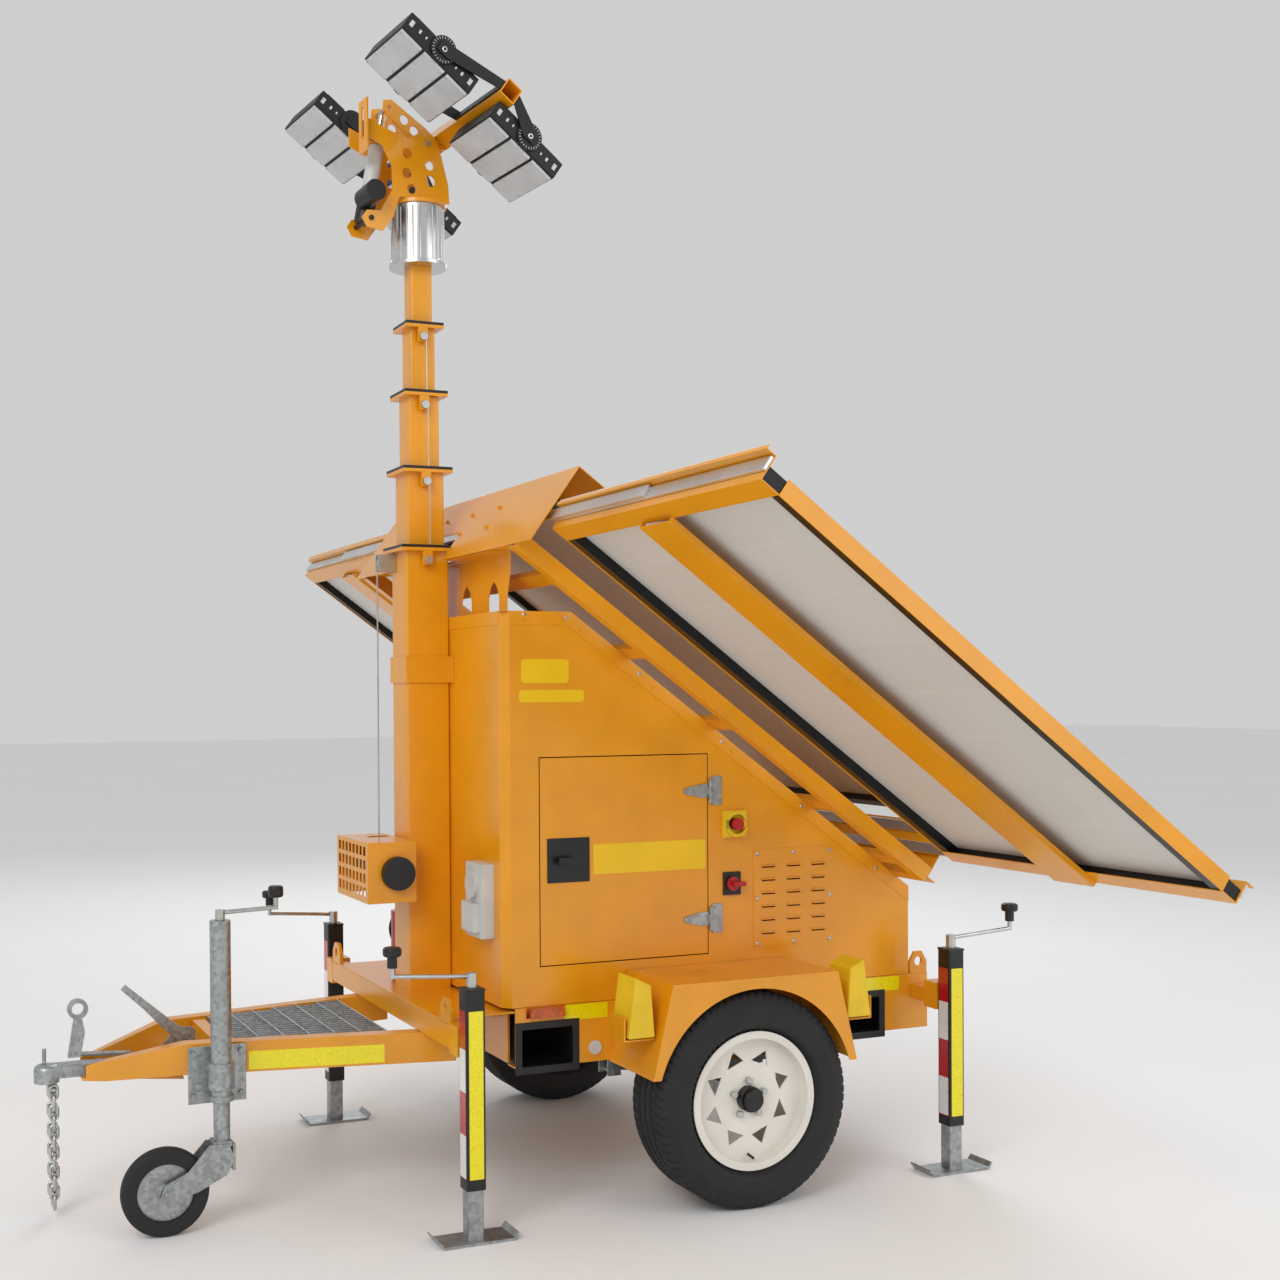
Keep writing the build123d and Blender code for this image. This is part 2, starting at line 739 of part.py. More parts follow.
def door_hinges():
    """Fixed hinge leaves and pins on the cabinet."""
    items = []
    for z in hinge_zs:
        leaf = block(hinge_x + 6.3, hinge_x + 42, side_y - 4, side_y, z - 45, z + 45)
        for low, high in ((z - 36, z - 12.4), (z + 12.4, z + 36)):
            leaf += pipe((hinge_x, hinge_y, low), (hinge_x, hinge_y, high), 6, 2.9)
            leaf += block(hinge_x + 3.5, hinge_x + 8, hinge_y - 1, side_y, low, high)
        leaf += rod((hinge_x, hinge_y, z - 38), (hinge_x, hinge_y, z + 38), 3)
        items.append(leaf)
    return group(items)


latch_x = door_x0 + 95
latch_z = 1031.0


def door_latch():
    """Folding T-handle in the lock bed."""
    stem = rod((latch_x, side_y - 3.3, latch_z), (latch_x, side_y - 15, latch_z), 9)
    handle = block(latch_x - 42, latch_x + 14, side_y - 25, side_y - 15, latch_z - 11, latch_z + 11)
    return stem + handle


estop_x, estop_z = 92.0, 1119.0
isolator_x, isolator_z = 84.0, 933.0


def side_fittings():
    """Fixed fittings: stop-button guard, isolator plate, power outlet, marker lights, reflectors."""
    guard = block(estop_x - 42, estop_x + 42, side_y - 12, side_y, estop_z - 42, estop_z + 42)
    guard -= rod((estop_x, side_y - 13, estop_z), (estop_x, side_y - 4, estop_z), 31)
    guard -= rod((estop_x, side_y - 13, estop_z), (estop_x, side_y + 1, estop_z), 11.2)
    ears = pipe((estop_x, side_y - 26, estop_z), (estop_x, side_y - 12, estop_z), 40, 31)
    ears -= block(estop_x - 45, estop_x + 45, side_y - 30, side_y - 11, estop_z - 14, estop_z + 14)
    collar = pipe((estop_x, side_y - 10, estop_z), (estop_x, side_y - 4, estop_z), 18, 11.2)
    plate = block(isolator_x - 31, isolator_x + 31, side_y - 6, side_y, isolator_z - 36,
                  isolator_z + 36)
    plate -= rod((isolator_x, side_y - 7, isolator_z), (isolator_x, side_y + 1, isolator_z), 9.2)
    outlet_y = -body_half_width + corner_chamfer + 105
    outlet = block(body_front_x - 42, body_front_x, outlet_y - 62, outlet_y + 62, 800, 1022)
    outlet += rod((body_front_x - 42, outlet_y, 958), (body_front_x - 54, outlet_y, 958), 42)
    outlet += block(body_front_x - 62, body_front_x - 40, outlet_y - 50, outlet_y + 50, 818, 905)
    marker = block(-614, -503, -chassis_half_width - 18, -chassis_half_width - 3.2, 607, 650)
    marker_plate = block(-622, -495, -chassis_half_width - 3, -chassis_half_width, 568, 599.5)
    reflector = rod((-396, -chassis_half_width - 6, 464), (-396, -chassis_half_width, 464), 21)
    lens = block(-614, -503, -chassis_half_width - 22, -chassis_half_width - 3, 570, 598)
    items = [guard + ears, collar, plate, outlet]
    for piece in (marker_plate + lens, reflector):
        items += both_sides(piece)
    tail = block(chassis_rear_x, chassis_rear_x + 28, 300, 440, 470, 560)
    items += both_sides(tail)
    return group(items)


def battery_bank():
    """Eight sealed batteries on the cabinet floor and the charge controller on the front wall."""
    items = []
    floor = body_bottom_z + sheet
    for i in range(4):
        for y in (-260, 10):
            x = -500 + i * 270
            items.append(block(x, x + 240, y, y + 240, floor, floor + 235))
    items.append(block(body_front_x + sheet, body_front_x + sheet + 110, -150, 190, 1150, 1550))
    return group(items)


def fire_extinguisher():
    """Small extinguisher standing on the deck beside the mast."""
    x = mast_x - 10
    y = mast_widths[0] / 2 + 75
    z = deck_top_z
    can = rod((x, y, z), (x, y, z + 225), 45)
    neck = rod((x, y, z + 225), (x, y, z + 262), 15)
    lever = block(x - 60, x + 18, y - 9, y + 9, z + 262, z + 278)
    return can + neck + lever


# ---------------------------------------------------------------- solar array
front_plane_s = -3 * slide_thickness - 3 * slide_gap


def slide_span(member):
    """Y range of a left-hand slide member with the wing out: 0 fixed, 1 middle, 2 on the wing."""
    shift = {0: 0.0, 1: wing_travel * slide_ratio, 2: wing_travel}[member]
    return -wing_width / 2 - shift, wing_width / 2 - shift


def slide_member(member, n0, end):
    """One slide member, at the top end (0) or the foot (1) of the panels."""
    y0, y1 = slide_span(member)
    out = (2 - member) * (slide_thickness + slide_gap)
    if end == 0:
        s1 = -out - slide_gap
        s0 = s1 - slide_thickness
    else:
        s0 = panel_length + out + slide_gap
        s1 = s0 + slide_thickness
    low = n0 + slide_low
    return block(s0, s1, y0, y1, low, low + slide_height)


def panel_solids(y0, y1, s0, s1, n0, thickness):
    """Aluminium panel frame round a glass laminate."""
    w = panel_frame_width
    frame = block(s0, s1, y0, y1, n0, n0 + thickness)
    frame -= block(s0 + w, s1 - w, y0 + w, y1 - w, n0 - 1, n0 + thickness + 1)
    top = n0 + thickness - 2
    laminate = block(s0 + w, s1 - w, y0 + w, y1 - w, top - laminate_thickness, top)
    return [on_slope(frame), on_slope(laminate)]


def wing(n0, top_n):
    """Left-hand wing: end beams, side strips, centre brace, panel and its own slide members."""
    y0 = -wing_inner_y - wing_width
    y1 = -wing_inner_y
    length = panel_length
    t = wing_web
    lip_n = n0 + slide_low + slide_height + 4
    top_beam = block(0, wing_flange, y0, y1, n0, n0 + t)
    top_beam += block(0, t, y0, y1, n0, lip_n + t)
    top_beam += block(front_plane_s + 1, t, y0, y1, lip_n, lip_n + t)
    top_beam += block(front_plane_s + 1, front_plane_s + 1 + t, y0, y1, lip_n, top_n)
    foot_beam = block(length - wing_flange, length, y0, y1, n0, n0 + t)
    foot_beam += block(length - t, length, y0, y1, n0, lip_n + t)
    foot_beam += block(length - t, length - front_plane_s - 1, y0, y1, lip_n, lip_n + t)
    outer_strip = block(wing_flange, length - wing_flange, y0, y0 + t, n0, n0 + 44)
    inner_strip = block(wing_flange, length - wing_flange, y1 - t, y1, n0, n0 + 44)
    mid = (y0 + y1) / 2
    brace = block(brace_start, length - 8, mid - brace_width / 2, mid + brace_width / 2,
                  n0 - brace_depth, n0)
    brace -= block(brace_start - 1, length - 7, mid - brace_width / 2 + t, mid + brace_width / 2 - t,
                   n0 - brace_depth + t, n0 + 1)
    items = [on_slope(piece) for piece in (top_beam, foot_beam, outer_strip, inner_strip, brace)]
    clear = t + gap
    items += panel_solids(y0 + clear, y1 - clear, clear, length - clear, n0 + t + 0.5,
                          panel_thickness)
    items += [on_slope(slide_member(2, n0, end)) for end in (0, 1)]
    return group(items)


def middle_slides(n0):
    """The two middle slide members of a left-hand wing."""
    return group([on_slope(slide_member(1, n0, end)) for end in (0, 1)])


def panel_tray():
    """Fixed tray on the cabinet slope: side rails, ties, foot plate and the fixed slide members."""
    length = panel_length
    w = tray_half_width
    rail_low = tray_top_n - tray_rail_depth
    foot_s = length - front_plane_s
    rail = block(front_plane_s, foot_s, w - tray_rail_width, w, rail_low, tray_top_n)
    rail -= block(front_plane_s - 1, foot_s + 1, w - tray_rail_width - 1, w - 3,
                  rail_low + 3, tray_top_n - 3)
    items = [on_slope(piece) for piece in both_sides(rail)]
    tie_low = -cover_drop + 2.2
    for s in (115.0, 480.0, 850.0, 1290.0, 1600.0):
        tie = block(s, s + 50, -w + 3, w - 3, tie_low, tie_low + tie_depth - 8)
        items.append(on_slope(tie))
    foot = block(foot_s, foot_s + ridge_plate, -w, w, tie_low, wing_pitch + 72)
    foot += block(foot_s, foot_s + 38, -w, w, tie_low, tie_low + 3)
    items.append(on_slope(foot))
    for n0, flip in ((0.0, False), (wing_pitch, True)):
        for end in (0, 1):
            piece = slide_member(0, n0, end)
            items.append(on_slope(mirrored(piece) if flip else piece))
    return group(items)


def ridge_cap():
    """Folded cap over the head of the panels: front plate, rear lip, bolt flange, screws."""
    s1 = front_plane_s
    s0 = s1 - ridge_plate
    half = ridge_half_length
    cap = block(s0, s1, -half, half, ridge_low_n, ridge_top_n)
    cap += block(s0, s1 + 95, -half, half, ridge_top_n - ridge_plate, ridge_top_n)
    cap = on_slope(cap)
    low = slope_point(s0, 0, ridge_low_n)
    cap += block(low.X, bracket_x - 2, -tray_half_width + 60, tray_half_width - 60,
                 low.Z - 1, low.Z + 2)
    notch = mast_widths[0] / 2 + mast_flange + 5
    cap -= block(mast_x, mast_x + notch, -notch, notch, low.Z - 2, mast_tops[0] + 60)
    screws = []
    for y in (-330.0, -110.0, 110.0, 330.0):
        for n in (40.0, 40.0 + wing_pitch):
            head = block(s0 - 7, s0, y - 5, y + 5, n - 5, n + 5)
            screws.append(on_slope(head))
    bolts = []
    for y in (-400.0, -260.0, 260.0, 400.0):
        bolts.append(rod((bracket_x - 40, y, low.Z + 2), (bracket_x - 40, y, low.Z + 10), 8))
    return group([cap] + screws + bolts)


def ridge_bracket():
    """Upright plate between the cabinet roof and the cap, pierced with pointed arches."""
    low = slope_point(front_plane_s - ridge_plate, 0, ridge_low_n)
    x0 = bracket_x
    z0 = body_top_z + 2
    z1 = low.Z - 1.2
    half = 455.0
    waist = 26.0
    with_arches = make_face(
        Polyline(
            (-half + waist, z0), (half - waist, z0), (half - waist, z0 + 42), (half, z1 - 55),
            (half, z1), (-half, z1), (-half, z1 - 55), (-half + waist, z0 + 42), close=True,
        )
    )
    plate = Plane(origin=(x0, 0, 0), x_dir=(0, 1, 0), z_dir=(1, 0, 0)) * extrude(with_arches, 4)
    for y in (-330.0, -110.0, 110.0, 330.0):
        arch = make_face(
            Polyline((y - 42, z0 - 1), (y + 42, z0 - 1), (y + 42, z0 + 48), (y + 26, z0 + 78),
                     (y, z0 + 98), (y - 26, z0 + 78), (y - 42, z0 + 48), close=True)
        )
        plate -= Plane(origin=(x0 - 1, 0, 0), x_dir=(0, 1, 0), z_dir=(1, 0, 0)) * extrude(arch, 6)
    ledge = block(x0 - 66, x0 + 2, -half, half, z1 - 4, z1)
    notch = mast_widths[0] / 2 + mast_flange + 5
    plate += ledge - block(mast_x, mast_x + notch, -notch, notch, z1 - 5, z1 + 1)
    foot = block(x0, x0 + 40, -half + waist, half - waist, z0, z0 + 4)
    for y in (-330.0, -110.0, 110.0, 330.0):
        foot -= block(x0 - 1, x0 + 41, y - 42, y + 42, z0 - 1, z0 + 5)
    return group([plate + foot])


def centre_panel():
    """Fixed panel over the two stowed wings, with its yellow posts and carrier bars."""
    half = centre_panel_width / 2
    n0 = centre_panel_n
    items = panel_solids(-half, half, 6, panel_length - 6, n0, centre_panel_thickness)
    return group(items)


# ---------------------------------------------------------------- mast
def mast_section(i):
    """One square mast section with its head flange, guide pads and pulley ears."""
    width = mast_widths[i]
    top = mast_tops[i]
    foot = mast_foot_z + i * mast_foot_gap
    tube = square_tube(mast_x, 0, foot, top, width, mast_wall)
    items = []
    if i < 4:
        half = width / 2 + mast_flange - 4
        collar = block(mast_x - half, mast_x + half, -half, half, top - mast_flange_thickness, top)
        hole = mast_widths[i] / 2 - 1
        collar -= block(mast_x - hole, mast_x + hole, -hole, hole, top - 30, top + 1)
        tube += collar
        for sy in (1, -1):
            y = sy * (width / 2 + 16)
            ear = block(mast_x - 22, mast_x + 10, y - 5, y + 5, top - 55, top - mast_flange_thickness)
            tube += ear + block(mast_x - 22, mast_x + 10, sy * (width / 2 - 1), y, top - 22,
                                top - mast_flange_thickness)
        pad_half = mast_widths[i + 1] / 2 + gap
        pad = block(mast_x - half, mast_x + half, -half, half, top, top + 9)
        pad -= block(mast_x - pad_half, mast_x + pad_half, -pad_half, pad_half, top - 1, top + 10)
        items.append(pad)
        for sy in (1, -1):
            y = sy * (width / 2 + 27)
            items.append(rod((mast_x - 6, y - 5, top - 40), (mast_x - 6, y + 5, top - 40), 13))
    items.insert(0, tube)
    return group(items)


clamp_z0 = 1566.0
clamp_z1 = 1650.0
rope_pulley_z = mast_tops[0] - 8
rope_pulley_y = 44.0


def mast_base():
    """Bottom section with its foot plate, cabinet clamp and the rope's head pulley."""
    w = mast_widths[0]
    items = list(mast_section(0).solids())
    half = w / 2
    outer = half + 6
    band = block(mast_x - outer, body_front_x, -outer, outer, clamp_z0, clamp_z1)
    band -= block(mast_x - half - 0.2, body_front_x + 1, -half - 0.2, half + 0.2,
                  clamp_z0 - 1, clamp_z1 + 1)
    for sy in (1, -1):
        ear = block(body_front_x - 8, body_front_x, sy * outer, sy * (outer + 30), clamp_z0, clamp_z1)
        band += ear
    items.append(band)
    x = mast_x - half - mast_flange - 4
    cheek = block(x - 30, mast_x - half - 0.5, rope_pulley_y - 18, rope_pulley_y - 13,
                  rope_pulley_z - 62, rope_pulley_z - 6)
    cheek2 = block(x - 30, mast_x - half - 0.5, rope_pulley_y + 13, rope_pulley_y + 18,
                   rope_pulley_z - 62, rope_pulley_z - 6)
    wheel_centre = rope_pulley_z - 34
    sheave = rod((x - 4, rope_pulley_y - 12, wheel_centre), (x - 4, rope_pulley_y + 12, wheel_centre), 22)
    items += [cheek, cheek2, sheave]
    return group(items)


winch_x0 = -1000.0
winch_x1 = mast_x - mast_widths[0] / 2 - 6
winch_z0 = 886.0
winch_z1 = 1074.0
winch_half = 178.0


def winch_box():
    """Perforated winch housing on the mast front with its motor boss and bracket."""
    t = 3.0
    y1 = winch_half - 20
    y0 = -winch_half + 20
    box = block(winch_x0, winch_x1, y0, y1, winch_z0, winch_z1)
    box -= block(winch_x0 + t, winch_x1 - t, y0 + t, y1 - t, winch_z0 - 1, winch_z1 - t)
    for i in range(8):
        for j in range(4):
            y = y0 + 24 + i * 36
            z = winch_z0 + 20 + j * 42
            box -= block(winch_x0 - 1, winch_x0 + t + 1, y, y + 24, z, z + 28)
    box -= block(-930, -860, rope_pulley_y - 14, rope_pulley_y + 30, winch_z1 - t - 1, winch_z1 + 1)
    motor = rod((-905, y0, 978), (-905, y0 - 26, 978), 52)
    plate = block(winch_x1 - 1, winch_x1 + 6, -55, 55, winch_z0 + 10, winch_z1 - 10)
    drum = rod((-905, y0 + t + 8, 978), (-905, y1 - t - 8, 978), 38)
    return group([box + plate, motor, drum])


def winch_rope():
    """Steel rope from the winch drum up to the head pulley of the bottom section."""
    half = mast_widths[0] / 2
    x_top = mast_x - half - mast_flange - 4 - 4 - 25
    top = (x_top, rope_pulley_y, rope_pulley_z - 34)
    bottom = (-905 + 10, rope_pulley_y, 978 + 41)
    return rod(bottom, top, 2.5)


# ---------------------------------------------------------------- lamp head, built unturned
def head_place(shape):
    """Turns a piece built on the mast axis to the head's rest bearing."""
    return Pos(mast_x, 0, 0) * Rot(0, 0, head_yaw) * shape


def rotator_drum():
    """Stainless slip-ring drum fixed to the top section."""
    z0 = mast_tops[4]
    top = z0 + drum_height
    items = [
        Pos(mast_x, 0, z0 + drum_flange / 2) * Cylinder(drum_flange_radius, drum_flange),
        Pos(mast_x, 0, (z0 + top) / 2) * Cylinder(drum_radius, drum_height - 2 * drum_flange),
    ]
    for i in range(6):
        angle = radians(60 * i)
        x = mast_x + (drum_radius + 4) * cos(angle)
        y = (drum_radius + 4) * sin(angle)
        items.append(rod((x, y, z0 + drum_flange), (x, y, z0 + drum_flange + 7), 3.8))
    return group(items)


def head_bracket():
    """Turning plate with two shaped cheek plates, spacers, and the slotted stop plate."""
    z = mast_tops[4] + drum_height - drum_flange + seat
    disc = Pos(0, 0, z + drum_flange / 2) * Cylinder(drum_flange_radius, drum_flange)
    top = z + drum_flange
    outline = [
        (-88, top), (84, top), (80, top + 60), (52, tilt_pin_z - 18),
        (tilt_pin_x + 34, tilt_pin_z + 14), (tilt_pin_x + 8, tilt_pin_z + 36),
        (tilt_pin_x - 26, tilt_pin_z + 30), (-60, tilt_pin_z + 8), (-120, tilt_pin_z + 20),
        (-212, tilt_pin_z + 52), (-212, tilt_pin_z - 6), (-150, tilt_pin_z - 30),
        (-118, tilt_pin_z - 90), (-116, top + 20), (-160, 3040), (-206, 3036), (-222, 3012),
        (-205, 2984), (-150, 2978), (-112, 3030), (-96, top - 8),
    ]
    cheeks = []
    for sy in (1, -1):
        y0 = sy * head_plate_y
        y1 = sy * (head_plate_y + head_plate)
        cheek = plate_xz(outline, min(y0, y1), max(y0, y1))
        low, high = min(y0, y1) - 1, max(y0, y1) + 1
        for hx, hz, hr in ((-64, 3232, 16), (-66, 3170, 16), (14, 3205, 15), (16, 3156, 18),
                           (-50, 3122, 15)):
            cheek -= rod((hx, low, hz), (hx, high, hz), hr)
        cheek -= rod((tilt_pin_x, low, tilt_pin_z), (tilt_pin_x, high, tilt_pin_z),
                     tilt_pin_radius + pin_clearance)
        bx, bz = actuator_base
        cheek -= rod((bx, low, bz), (bx, high, bz), 8 + pin_clearance)
        cheeks.append(cheek)
    stop = block(-218, -212.2, -head_plate_y - head_plate - 30, -head_plate_y + 24,
                 tilt_pin_z - 62, tilt_pin_z + 100)
    stop -= block(-219, -211, -head_plate_y - 12, -head_plate_y + 6, tilt_pin_z - 20, tilt_pin_z + 76)
    spacer = rod((-170, -head_plate_y, tilt_pin_z + 16), (-170, head_plate_y, tilt_pin_z + 16), 7)
    rear_web = block(60, 64, -head_plate_y, head_plate_y, top, top + 70)
    return group([head_place(piece) for piece in [disc] + cheeks + [stop, spacer, rear_web]])


def along_actuator(distance):
    """Point on the actuator's line, measured from its base pin."""
    bx, bz = actuator_base
    tx, tz = actuator_top
    length = ((tx - bx) ** 2 + (tz - bz) ** 2) ** 0.5
    return (bx + (tx - bx) * distance / length, 0.0, bz + (tz - bz) * distance / length)


def actuator_body():
    """Linear actuator: outer tube, gearbox, motor and base pin."""
    bx, bz = actuator_base
    tube = pipe(along_actuator(38), along_actuator(250), 24, 16)
    gearbox = rod(along_actuator(0), along_actuator(100), 30)
    base = rod((bx, -head_plate_y - head_plate - 5, bz), (bx, head_plate_y + head_plate + 5, bz), 8)
    start = along_actuator(67)
    motor = rod((start[0] - 18, -18, start[2]), (start[0] - 18, -112, start[2] + 6), 33)
    return head_place(tube + gearbox + base + motor)


def actuator_rod():
    """The actuator's chromed rod and its eye."""
    shaft = rod(along_actuator(165), along_actuator(350), 12)
    return head_place(shaft)


tilt_plane = Plane(
    origin=(lamp_centre_x, 0, lamp_centre_z),
    x_dir=(cos(radians(lamp_tilt)), 0, -sin(radians(lamp_tilt))),
    z_dir=(sin(radians(lamp_tilt)), 0, cos(radians(lamp_tilt))),
)
bar_u = 50.0                     # cross bar's place down the tilt plane
bar_n = 100.0                    # and behind the lamps' faces
bar_size = 56.0
bar_half = lamp_pitch_across / 2 + lamp_across / 2 + 18


def tilt_local(x, z):
    """A head point in the tilt plane's own axes."""
    point = tilt_plane.to_local_coords(Vector(x, 0, z))
    return point.X, point.Z


def lamp_bar():
    """Tilting cross bar with its two arms, pins and the four lamp yokes."""
    wall = 4.0
    half = bar_size / 2
    bar = block(bar_u - half, bar_u + half, -bar_half, bar_half, bar_n - half, bar_n + half)
    bar -= block(bar_u - half + wall, bar_u + half - wall, -bar_half - 1, bar_half + 1,
                 bar_n - half + wall, bar_n + half - wall)
    pu, pn = tilt_local(tilt_pin_x, tilt_pin_z)
    au, an = tilt_local(*actuator_top)
    items = [bar]
    arm_y = head_plate_y - 8
    for sy in (1, -1):
        y0, y1 = sorted((sy * arm_y, sy * (arm_y - 6)))
        arm = plate_xz(
            [(pu - 6, pn - 26), (pu + 22, pn - 12), (bar_u + half, bar_n - half - 0.2),
             (bar_u - half, bar_n - half - 0.2), (pu - 30, pn + 44), (au - 8, an + 24),
             (au - 26, an + 4), (au - 10, an - 24), (pu - 60, pn - 22)], y0, y1,
        )
        for hu, hn in ((pu - 55, pn + 8), (pu - 100, pn + 12)):
            arm -= rod((hu, y0 - 1, hn), (hu, y1 + 1, hn), 15)
        items.append(arm)
    pin_end = head_plate_y + head_plate + 6
    tilt_pin = rod((pu, -pin_end, pn), (pu, pin_end, pn), tilt_pin_radius)
    eye_pin = rod((au, -arm_y, an), (au, arm_y, an), 8)
    items += [tilt_pin, eye_pin]
    for i in (-1, 1):
        for j in (-1, 1):
            y = i * lamp_pitch_across / 2
            u = j * lamp_pitch_down / 2
            pivot_n = lamp_depth - 18
            reach = lamp_across / 2 + 6
            hub_u = bar_u + j * half
            for sy in (-1, 1):
                y0, y1 = sorted((y + sy * reach, y + sy * (reach + 5)))
                strap = plate_xz(
                    [(u + j * 20, pivot_n - 16), (u + j * 20, pivot_n + 18), (hub_u, bar_n + 16),
                     (hub_u, bar_n - 16), (u - j * 20, pivot_n - 16)], y0, y1,
                )
                items.append(strap)
            u0, u1 = sorted((hub_u, hub_u + j * 5))
            items.append(block(u0, u1, y - reach, y + reach, bar_n - 16, bar_n + 16))
    return group([head_place(tilt_plane * piece) for piece in items])


def lamps():
    """Four flood lamps: finned housings, three clear lens modules each, protractor discs."""
    items = []
    for i in (-1, 1):
        for j in (-1, 1):
            y = i * lamp_pitch_across / 2
            u = j * lamp_pitch_down / 2
            frame = block(u - lamp_long / 2, u + lamp_long / 2, y - lamp_across / 2,
                          y + lamp_across / 2, 4, lamp_depth)
            items.append(frame)
            third = lamp_long / 3
            for k in range(3):
                u0 = u - lamp_long / 2 + k * third
                items.append(block(u0 + 5, u0 + third - 5, y - lamp_across / 2 + 8,
                                   y + lamp_across / 2 - 8, -4, 4))
            for sy in (-1, 1):
                y0 = y + sy * (lamp_across / 2 + 0.2)
                y1 = y + sy * (lamp_across / 2 + 5.8)
                items.append(rod((u, y0, lamp_depth - 18), (u, y1, lamp_depth - 18), 42))
    return group([head_place(tilt_plane * piece) for piece in items])


# ---------------------------------------------------------------- jacks
def jack_tubes():
    """The four outer tubes with their bottom collars and top caps."""
    items = []
    for x in (jack_front_x, jack_rear_x):
        tube = square_tube(x, jack_y, jack_tube_bottom_z, jack_tube_top_z, jack_tube, jack_wall)
        cap = block(x - 29, x + 29, jack_y - 29, jack_y + 29, jack_tube_top_z, jack_tube_top_z + 6)
        cap -= Pos(x, jack_y, jack_tube_top_z + 3) * Cylinder(10, 8)
        items += both_sides(tube + cap)
    return group(items)


def jack_leg_piece(x):
    """Inner leg with its sprung foot plate, on the right-hand side."""
    leg = square_tube(x, jack_y, jack_foot_plate, jack_leg_top_z, jack_leg, jack_wall)
    half = jack_foot_length / 2
    foot = block(x - half + 16, x + half - 16, jack_y - jack_foot_width / 2,
                 jack_y + jack_foot_width / 2, 0, jack_foot_plate)
    for end in (-1, 1):
        x0, x1 = sorted((x + end * (half - 16), x + end * half))
        tip = plate_xz(
            [(x + end * (half - 16), 0), (x + end * (half - 16), jack_foot_plate),
             (x + end * (half - 3), 24), (x + end * half, 20)],
            jack_y - jack_foot_width / 2, jack_y + jack_foot_width / 2,
        )
        foot += tip
    return leg + foot


def jack_crank_piece(x, reach):
    """Crank on the jack head: spindle, bent rod and mushroom knob, on the right-hand side."""
    z = jack_tube_top_z + crank_hub_height
    spindle = rod((x, jack_y, jack_tube_top_z - 20), (x, jack_y, z), 9.5)
    hub = rod((x, jack_y, jack_tube_top_z + 7), (x, jack_y, z + 10), 15)
    arm = rod((x, jack_y, z), (x + reach, jack_y, z + 16), crank_rod)
    stem = rod((x + reach, jack_y, z + 10), (x + reach, jack_y, z + 46), crank_rod)
    knob = rod((x + reach, jack_y, z + 40), (x + reach, jack_y, z + 82), 14)
    head = Pos(x + reach, jack_y, z + 84) * Cylinder(knob_radius, 26)
    return spindle + hub + arm + stem + knob + fillet(head.edges(), 8)


# ---------------------------------------------------------------- jockey wheel and coupling
def drawbar_outer_half(x):
    """Outer face of the drawbar rail at a given X, behind the bend."""
    return drawbar_inner_half(x) + drawbar_rail_width


def jockey_bracket():
    """Mounting plate and swivel boss bolted to the left-hand rail."""
    y_rail = -drawbar_outer_half(jockey_x + 85) - 10
    plate = block(jockey_x - 85, jockey_x + 85, y_rail, y_rail + 8, 350, drawbar_top_z - 4)
    boss = rod((jockey_x, y_rail, jockey_pivot_z),
               (jockey_x, jockey_y + jockey_tube_radius + 9, jockey_pivot_z), 34)
    x0 = jockey_x - 60
    x1 = jockey_x + 60
    back = plate_xy(
        [(x0, y_rail + 8), (x1, y_rail + 8), (x1, -drawbar_outer_half(x1)),
         (x0, -drawbar_outer_half(x0))], drawbar_bottom_z + 6, drawbar_top_z - 8,
    )
    bolts = []
    for dx in (-70, 70):
        for z in (372, 495):
            bolts.append(rod((jockey_x + dx, y_rail - 9, z), (jockey_x + dx, y_rail, z), 9))
    return group([plate + boss + back] + bolts)


def jockey_tube():
    """Outer jockey tube with its clamp band and head."""
    r = jockey_tube_radius
    tube = pipe((jockey_x, jockey_y, jockey_tube_bottom_z), (jockey_x, jockey_y, jockey_tube_top_z),
                r, r - jockey_tube_wall)
    band = pipe((jockey_x, jockey_y, jockey_pivot_z - 38), (jockey_x, jockey_y, jockey_pivot_z + 38),
                r + 8, r - 1)
    collar = pipe((jockey_x, jockey_y, jockey_tube_bottom_z),
                  (jockey_x, jockey_y, jockey_tube_bottom_z + 16), r + 6, jockey_inner_radius + seat)
    cap = pipe((jockey_x, jockey_y, jockey_tube_top_z), (jockey_x, jockey_y, jockey_tube_top_z + 6),
               r, 8 + pin_clearance)
    return tube + band + collar + cap


def jockey_crank():
    """Crank handle on the jockey tube's head."""
    z = jockey_tube_top_z + 28
    reach = 165.0
    spindle = rod((jockey_x, jockey_y, jockey_tube_top_z - 40), (jockey_x, jockey_y, z), 8)
    hub = rod((jockey_x, jockey_y, jockey_tube_top_z + 7), (jockey_x, jockey_y, z + 8), 14)
    arm = rod((jockey_x, jockey_y, z), (jockey_x + reach, jockey_y, z + 6), crank_rod)
    stem = rod((jockey_x + reach, jockey_y, z), (jockey_x + reach, jockey_y, z + 36), crank_rod)
    grip = Pos(jockey_x + reach, jockey_y, z + 52) * Cylinder(22, 34)
    return spindle + hub + arm + stem + fillet(grip.edges(), 8)


